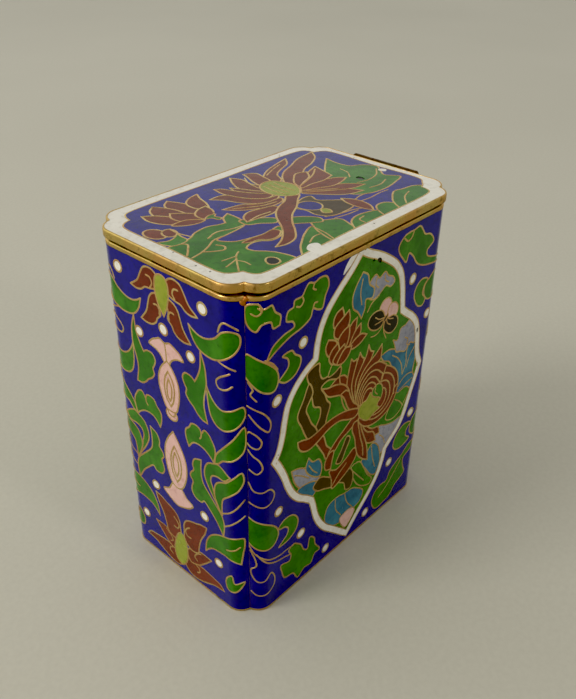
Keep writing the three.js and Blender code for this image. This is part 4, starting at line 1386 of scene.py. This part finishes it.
def brass(name, base, warm, dark, rough, dirt, seed, shaded_seams=()):
    """Worn gilt brass: warm and pale drifts, dark tarnish in spots, brushed scratches. Painted
    shade darkens the seams too, given as (height in mm, half width in mm)."""
    n = new_material(name)
    drift = n.noise(140.0, 4.0, 0.6, seed=seed)
    colour = n.mix(n.ramp(drift, 0.38, 0.62), linear(*base), linear(*warm))
    spots = n.noise(520.0, 4.0, 0.7, seed=seed + 2)
    tarnish_and_seam_shade = n.ramp(spots, 0.56, 0.7, 0.0, dirt)
    # Painted shade: thin bands at the seam heights are darkened like the tarnish, standing in for
    # the shade in the gaps
    if shaded_seams:
        level = n.add("ShaderNodeSeparateXYZ", Vector=n.coords).outputs["Z"]
        uneven = n.ramp(n.noise(330.0, 2.0, 0.5, seed=seed + 12), 0.3, 0.7, -0.09 * MM, 0.09 * MM)
        level = n.math("ADD", level, uneven)
        for height, half in shaded_seams:
            off = n.math("ABSOLUTE", n.math("SUBTRACT", level, height * MM))
            tarnish_and_seam_shade = n.math("MAXIMUM", tarnish_and_seam_shade, n.ramp(off, half * MM, half * MM * 1.7, 0.95, 0.0))
    colour = n.mix(tarnish_and_seam_shade, colour, linear(*dark))
    scratch = n.noise(90.0, 6.0, 0.75, n.stretch((1.0, 1.0, 22.0), (0.06, 0.04, 0.0)), seed)
    across = n.noise(80.0, 6.0, 0.75, n.stretch((18.0, 1.0, 1.0), (0.0, 0.2, 0.5)), seed + 4)
    fine = n.math("ADD", n.ramp(scratch, 0.35, 0.7), n.math("MULTIPLY", across, 0.4))
    roughness = n.ramp(n.noise(300.0, 3.0, 0.6, seed=seed + 6), 0.35, 0.7, *rough)
    roughness = n.math("ADD", roughness, n.math("MULTIPLY", tarnish_and_seam_shade, 0.3))
    metallic = n.ramp(tarnish_and_seam_shade, 0.0, 1.0, 1.0, 0.4)
    normal = n.bump(fine, 0.25, 0.00003)
    normal = n.bump(n.noise(420.0, 3.0, 0.6, seed=seed + 8), 0.3, 0.0001, normal)
    return n.surface(Base_Color=colour, Metallic=metallic, Roughness=roughness, Normal=normal)


ENAMELS = {
    "cobalt": enamel("cobalt", (14, 10, 118), (24, 20, 150), (6, 4, 70), 0.07, 1),
    "green": enamel("green", (38, 104, 16), (66, 132, 30), (20, 74, 10), 0.09, 2, 0.8),
    "brown": enamel("brown", (104, 34, 16), (128, 52, 26), (66, 16, 8), 0.1, 3),
    "white": enamel("white", (228, 224, 214), (238, 236, 228), (196, 190, 176), 0.1, 4),
    "yellowgreen": enamel("yellowgreen", (138, 150, 48), (164, 168, 72), (100, 116, 30), 0.1, 5),
    "pink": enamel("pink", (214, 172, 164), (226, 190, 180), (186, 138, 130), 0.1, 6),
    "turquoise": enamel("turquoise", (34, 96, 124), (60, 128, 150), (20, 62, 92), 0.1, 7, 0.9),
    "grey": enamel("grey", (136, 138, 152), (160, 160, 170), (96, 98, 118), 0.1, 8, 0.9),
    "black": enamel("black", (10, 8, 10), (22, 18, 22), (4, 3, 4), 0.08, 9),
    "olive": enamel("olive", (62, 44, 16), (80, 62, 26), (38, 24, 8), 0.1, 10),
}
WIRES = brass("gilt_wire", (214, 190, 132), (206, 166, 116), (110, 84, 48), (0.2, 0.42), 0.6, 11)
# Painted shade along two seams: just under the lid's band, and where the rim meets the enamel
GILT = brass("gilt_brass", (196, 172, 106), (200, 160, 100), (74, 54, 26), (0.22, 0.5), 0.75, 12,
             shaded_seams=((LID_BOTTOM - 0.12, 0.2), (WALL_TOP + 0.03, 0.06)))
DARK = brass("dark_brass", (92, 72, 40), (110, 80, 46), (24, 18, 12), (0.35, 0.6), 0.8, 13)
COPPER = brass("solder", (176, 104, 60), (196, 140, 84), (70, 36, 20), (0.3, 0.55), 0.5, 14)
LINING = enamel("counter_enamel", (58, 138, 156), (84, 160, 172), (36, 104, 124), 0.12, 15, 0.8)


# ---------------------------------------------------------------- metal body and linings

SHELL = 0.42         # the copper wall starts this far in, under the enamel
COUNTER = 0.28       # thickness of the lining, the enamel inside
INSIDE = WALL - COUNTER
BASE_RIM = 0.9       # width of the bare foot underneath
BAND_WALL = 0.6      # thickness of the lid's brass band
LID_EDGE = 0.38      # the lid's enamel starts this far in from the band's outer face
PLATE_LOW = LID_BOTTOM + 0.3
SEAM_DEGREES = 55    # sharper bends than this stay sharp on the rim and the band
HAND_WORK = 0.06     # depth of the dents in both

shell = loft("body_shell", BODY, [
    (BASE_RIM, 0.16), (BASE_RIM, 0.04), (BASE_RIM - 0.06, 0.0), (0.16, 0.0), (0.05, 0.05),
    (0.0, 0.15), (0.0, FOOT - 0.08), (0.03, FOOT - 0.02), (0.08, FOOT),
    (SHELL, FOOT + 0.01), (SHELL, WALL_TOP), (INSIDE, WALL_TOP), (INSIDE, FLOOR - COUNTER),
], GILT)
enlist(shell, "box", "gilt_brass", "body")
lining = loft("body_lining", BODY, [
    (INSIDE + 0.01, FLOOR - 0.3), (INSIDE - 0.02, FLOOR - 0.2), (INSIDE - 0.02, WALL_TOP - 0.02),
    (WALL, WALL_TOP - 0.02), (WALL, FLOOR + 0.5), (WALL + 0.12, FLOOR + 0.16),
    (WALL + 0.5, FLOOR),
], LINING)
enlist(lining, "box", "body_enamel")
under = loft("body_underside", BODY, [
    (BASE_RIM + 0.5, 0.1), (BASE_RIM + 0.12, 0.1), (BASE_RIM + 0.02, 0.14), (BASE_RIM + 0.02, 0.2),
], LINING)
enlist(under, "box", "body_enamel")


def dents(seed, amount):
    """Slow unevenness of hand-worked metal, inwards only."""
    phases = [random.Random(seed + i).uniform(0, 6.28) for i in range(6)]

    def wobble(ring, k):
        x, y = ring[:, 0], ring[:, 1]
        w = (np.sin(x * 0.31 + y * 0.17 + phases[0]) + np.sin(x * 0.83 - y * 0.6 + phases[1])
             + np.sin(x * 1.7 + y * 1.3 + phases[2] + k)) / 3
        pull = amount * (w + 1) / 2
        size = np.linalg.norm(ring[:, :2], axis=1)
        ring[:, :2] *= (1 - pull / size)[:, None]
        return ring

    return wobble


rim = loft("mouth_rim_visual", BODY, [
    (0.05, WALL_TOP + 0.01), (0.0, WALL_TOP + 0.12), (0.0, WALL_TOP + 0.66),
    (0.05, RIM_TOP - 0.42), (0.2, RIM_TOP - 0.28), (0.5, RIM_TOP - 0.16), (0.75, RIM_TOP),
    (RIM_WALL - 0.25, RIM_TOP),
    (RIM_WALL - 0.06, RIM_TOP - 0.07), (RIM_WALL, RIM_TOP - 0.25), (RIM_WALL, WALL_TOP + 0.15),
    (RIM_WALL - 0.1, WALL_TOP),
], GILT, closed=True, wobble=dents(5, HAND_WORK), degrees=SEAM_DEGREES)
enlist(rim, "box", "gilt_brass", "mouth_rim")


def solder_blob():
    """A lump of solder left in the corner groove under the front left end of the rim."""
    cusp = lobe_data(BODY)[2] * (-1, -1)
    bm = bmesh.new()
    bmesh.ops.create_icosphere(bm, subdivisions=4, radius=1.0)
    for v in bm.verts:
        x, y, z = v.co
        lump = 1 + 0.16 * math.sin(3.1 * x + 2.0 * z) + 0.12 * math.sin(4.3 * y - 3.0 * z + 1.0)
        v.co = Vector((cusp[0] + 0.35 + x * 0.95 * lump, cusp[1] + 0.35 + y * 0.95 * lump,
                       WALL_TOP + 0.1 + z * (0.75 if z > 0 else 1.05) * lump)) * MM
    mesh = bpy.data.meshes.new("rim_solder")
    bm.to_mesh(mesh)
    bm.free()
    crease(mesh, 60)
    enlist(new_object("rim_solder", mesh, COPPER), "box", "gilt_brass")


solder_blob()

band = loft("lid_band_visual", LID, [
    (0.16, LID_BOTTOM + 0.01), (0.04, LID_BOTTOM + 0.1), (0.0, LID_BOTTOM + 0.3),
    (0.0, LID_TOP - 0.42), (0.03, LID_TOP - 0.2), (0.1, LID_TOP - 0.06), (0.2, LID_TOP - 0.01),
    (0.36, LID_TOP - 0.03), (0.42, LID_TOP - 0.2),
    (BAND_WALL + 0.05, LID_BOTTOM + 0.2), (BAND_WALL, LID_BOTTOM + 0.04),
], GILT, closed=True, wobble=dents(9, HAND_WORK), degrees=SEAM_DEGREES)
enlist(band, "lid", "gilt_brass", "lid_band")
plate = loft("lid_plate", LID, [
    (BAND_WALL + 0.6, PLATE_LOW), (BAND_WALL + 0.16, PLATE_LOW + 0.02),
    (BAND_WALL + 0.02, PLATE_LOW + 0.12), (BAND_WALL + 0.02, LID_TOP - 0.45),
], LINING)
enlist(plate, "lid", "lid_enamel", "lid_panel")


# ---------------------------------------------------------------- hinge

BARREL = 1.4
PIN = 0.55
HELD = 0.03          # play round the pin in the outer knuckles
TURNS = 0.07         # and in the middle one
SEAT_DROP = 1.2      # from the axis down to the seat under the outer knuckles
LAP = 0.02           # the blocks reach this far into the metal that carries them
BEVEL = 0.1
CHAMFER = 0.12
SIDES = 48
pin_low, pin_high = size_mm("hinge_pin")
AXIS_X = (pin_low[0] + pin_high[0]) / 2
AXIS_Z = (pin_low[2] + pin_high[2]) / 2


def tube_part(bm, outer, inner, y0, y1):
    """A tube along Y on the hinge axis with chamfered ends; inner 0 makes a solid rod."""
    if inner:
        profile = [(inner, y0 + 0.05), (inner + 0.05, y0), (outer - CHAMFER, y0),
                   (outer, y0 + CHAMFER), (outer, y1 - CHAMFER), (outer - CHAMFER, y1),
                   (inner + 0.05, y1), (inner, y1 - 0.05)]
    else:
        profile = [(outer * 0.55, y0), (outer * 0.9, y0 + 0.04), (outer, y0 + 0.14),
                   (outer, y1 - 0.14), (outer * 0.9, y1 - 0.04), (outer * 0.55, y1)]
    rings = []
    for radius, y in profile:
        ring = []
        for i in range(SIDES):
            t = 2 * math.pi * i / SIDES
            ring.append(bm.verts.new((AXIS_X + radius * math.cos(t), y,
                                      AXIS_Z + radius * math.sin(t))))
        rings.append(ring)
    last = len(rings) if inner else len(rings) - 1
    for k in range(last):
        a, b = rings[k], rings[(k + 1) % len(rings)]
        for i in range(SIDES):
            j = (i + 1) % SIDES
            bm.faces.new((a[i], a[j], b[j], b[i]))
    if not inner:
        bm.faces.new(rings[0][::-1])
        bm.faces.new(rings[-1])


def block_part(bm, low, high):
    part = bmesh.new()
    bmesh.ops.create_cube(part, size=1.0)
    for v in part.verts:
        v.co = Vector([(lo + hi) / 2 + c * (hi - lo) for lo, hi, c in zip(low, high, v.co)])
    bmesh.ops.bevel(part, geom=list(part.edges), offset=BEVEL, segments=2, affect="EDGES")
    temp = bpy.data.meshes.new("temp")
    part.to_mesh(temp)
    part.free()
    bm.from_mesh(temp)
    bpy.data.meshes.remove(temp)


def hinge_piece(name, node, body, blocks, outer, inner):
    low, high = size_mm(node)
    bm = bmesh.new()
    tube_part(bm, outer, inner, low[1], high[1])
    for x0, z0, x1, z1 in blocks:
        block_part(bm, (x0, low[1] + 0.01, z0), (x1, high[1] - 0.01, z1))
    bmesh.ops.scale(bm, vec=(MM, MM, MM), verts=bm.verts)
    mesh = bpy.data.meshes.new(name)
    bm.to_mesh(mesh)
    bm.free()
    crease(mesh, 35)
    enlist(weighted(new_object(name, mesh, DARK)), body, "dark_brass", node)


web = (HALF_X - LAP, AXIS_Z - SEAT_DROP - 0.15, AXIS_X - 0.7, AXIS_Z - 0.6)
seat = (HALF_X - LAP, AXIS_Z - SEAT_DROP - 1.0, AXIS_X + BARREL + 0.05, AXIS_Z - SEAT_DROP)
leaf = (LID_HALF_X - LAP, AXIS_Z + 0.2, AXIS_X - 0.62, AXIS_Z + 1.15)
hinge_piece("hinge_front", "hinge_knuckle_front", "box", (web, seat), BARREL, PIN + HELD)
hinge_piece("hinge_back", "hinge_knuckle_back", "box", (web, seat), BARREL, PIN + HELD)
hinge_piece("hinge_lid", "hinge_knuckle_lid", "lid", (leaf,), BARREL, PIN + TURNS)
hinge_piece("hinge_pin_visual", "hinge_pin", "box", (), PIN, 0)


# ---------------------------------------------------------------- enamel on the walls and lid

walls = [wall_panel(name, k) for k, name in enumerate(("front", "right", "back", "left"))]
front, right, back, left = walls
short_wall(Pen(left))
short_wall(Pen(right, mirror=True))
long_wall(Pen(front))
plain_long_wall(Pen(back))


LID_SINK = 0.02      # the lid's drawing lies this far under the CAD surface


def lid_place(xy):
    point = np.column_stack([xy, np.full(len(xy), LID_TOP - LID_SINK)])
    normal = np.tile((0.0, 0.0, 1.0), (len(xy), 1))
    return point, normal, np.full(len(xy), PROUD)


lid = Panel("lid", outline(LID, LID_EDGE, 10, 5), "white", lid_place)
lid_picture(Pen(lid))
for panel in walls + [lid]:
    panel.made = panel.mesh()

for colour, material in ENAMELS.items():
    enamel_piece("body_" + colour, walls, [colour], material, "box", "body_enamel")
    enamel_piece("lid_" + colour, [lid], [colour], material, "lid", "lid_enamel")
for panel in walls:
    enamel_piece("wires_" + panel.name, [panel], ["wire"], WIRES, "box", "gilt_brass")
enamel_piece("wires_lid", [lid], ["wire"], WIRES, "lid", "gilt_brass")
enamel_piece("body_pits", walls, ["pit"], ENAMELS["black"], "box", "body_enamel", PIT_DEPTH)
enamel_piece("lid_pits", [lid], ["pit"], ENAMELS["black"], "lid", "lid_enamel", PIT_DEPTH)


# ---------------------------------------------------------------- room, light and camera

def stage_object(name, verts, faces, material):
    mesh = bpy.data.meshes.new(name)
    mesh.from_pydata(verts, [], faces)
    obj = new_object(name, mesh, material)


def matte(name, colour, spread):
    n = new_material(name)
    tone = n.noise(4.0, 3.0, 0.5)
    mixed = n.mix(n.ramp(tone, 0.3, 0.7), linear(*colour), linear(*[c - spread for c in colour]))
    grain = n.noise(900.0, 2.0, 0.5)
    mixed = n.mix(n.ramp(grain, 0.3, 0.8, 0.0, 0.08), mixed, linear(120, 112, 96))
    normal = n.bump(grain, 0.1, 0.0001)
    return n.surface(Base_Color=mixed, Roughness=0.55, Normal=normal)


FLOOR_Z = -0.0001
stage_object("floor", [(-1.2, -1.2, FLOOR_Z), (1.6, -1.2, FLOOR_Z), (1.6, 1.6, FLOOR_Z),
                       (-1.2, 1.6, FLOOR_Z)], [(0, 1, 2, 3)], matte("table", (206, 203, 190), 6))


def studio_sky():
    """Bright low down and dim overhead, brightest at the left, dark towards the camera's side."""
    world = bpy.data.worlds.new("studio")
    bpy.context.scene.world = world
    n = Nodes(world, "Generated")
    height = n.math("MAXIMUM", n.towards((0.0, 0.0, 1.0)), 0.0)
    level = n.math("SUBTRACT", 1.3, n.math("MULTIPLY", height, 0.9))
    left = n.math("MULTIPLY", n.towards((-0.85, 0.4, 0.0)), 0.35)
    level = n.math("MULTIPLY", level, n.math("ADD", 1.0, left))
    near = n.math("SUBTRACT", n.towards((-0.5, -0.86, 0.0)), 0.45)
    near = n.math("MULTIPLY", n.math("MAXIMUM", near, 0.0), 1.3)
    level = n.math("MAXIMUM", n.math("SUBTRACT", level, near), 0.12)
    n.fill(n.tree.nodes["Background"], Color=(1.0, 0.985, 0.93, 1.0),
           Strength=n.math("MULTIPLY", level, 0.86))


studio_sky()


def area_light(name, place, aim, width, height, power, colour):
    data = bpy.data.lights.new(name, "AREA")
    data.shape = "RECTANGLE"
    data.size, data.size_y = width, height
    data.energy = power
    data.color = colour
    obj = bpy.data.objects.new(name, data)
    bpy.context.scene.collection.objects.link(obj)
    obj.location = place
    obj.rotation_mode = "QUATERNION"
    obj.rotation_quaternion = (Vector(aim) - Vector(place)).to_track_quat("-Z", "Y")


area_light("window", (-0.75, 0.35, 0.6), (0, 0, 0.03), 0.35, 0.5, 3.2, (1.0, 0.98, 0.95))
area_light("lamp", (0.1, -0.8, 0.5), (0, 0, 0.05), 0.1, 0.16, 0.9, (1.0, 0.98, 0.95))

optics = bpy.data.cameras.new("camera")
optics.sensor_fit = "HORIZONTAL"
optics.sensor_width = 36.0
optics.lens = 47.98
optics.clip_start, optics.clip_end = 0.01, 20.0
camera = bpy.data.objects.new("camera", optics)
bpy.context.scene.collection.objects.link(camera)
forward = Vector((0.62647, 0.55536, -0.54691))
side = Vector((0.67032, -0.74193, 0.01442))
up = Vector((0.39776, 0.37564, 0.83707))
axes = Matrix((side, up, -forward)).transposed()
camera.matrix_world = Matrix.Translation((-0.09995, -0.09039, 0.13128)) @ axes.to_4x4()
bpy.context.scene.camera = camera

# Full blacks, under the haze that the glossy walls pick up from the table
tone = bpy.context.scene.view_settings
tone.view_transform = "Standard"
tone.use_curve_mapping = True
tone.curve_mapping.black_level = (0.026, 0.026, 0.028)
tone.curve_mapping.white_level = (0.98, 0.98, 1.0)
tone.curve_mapping.update()
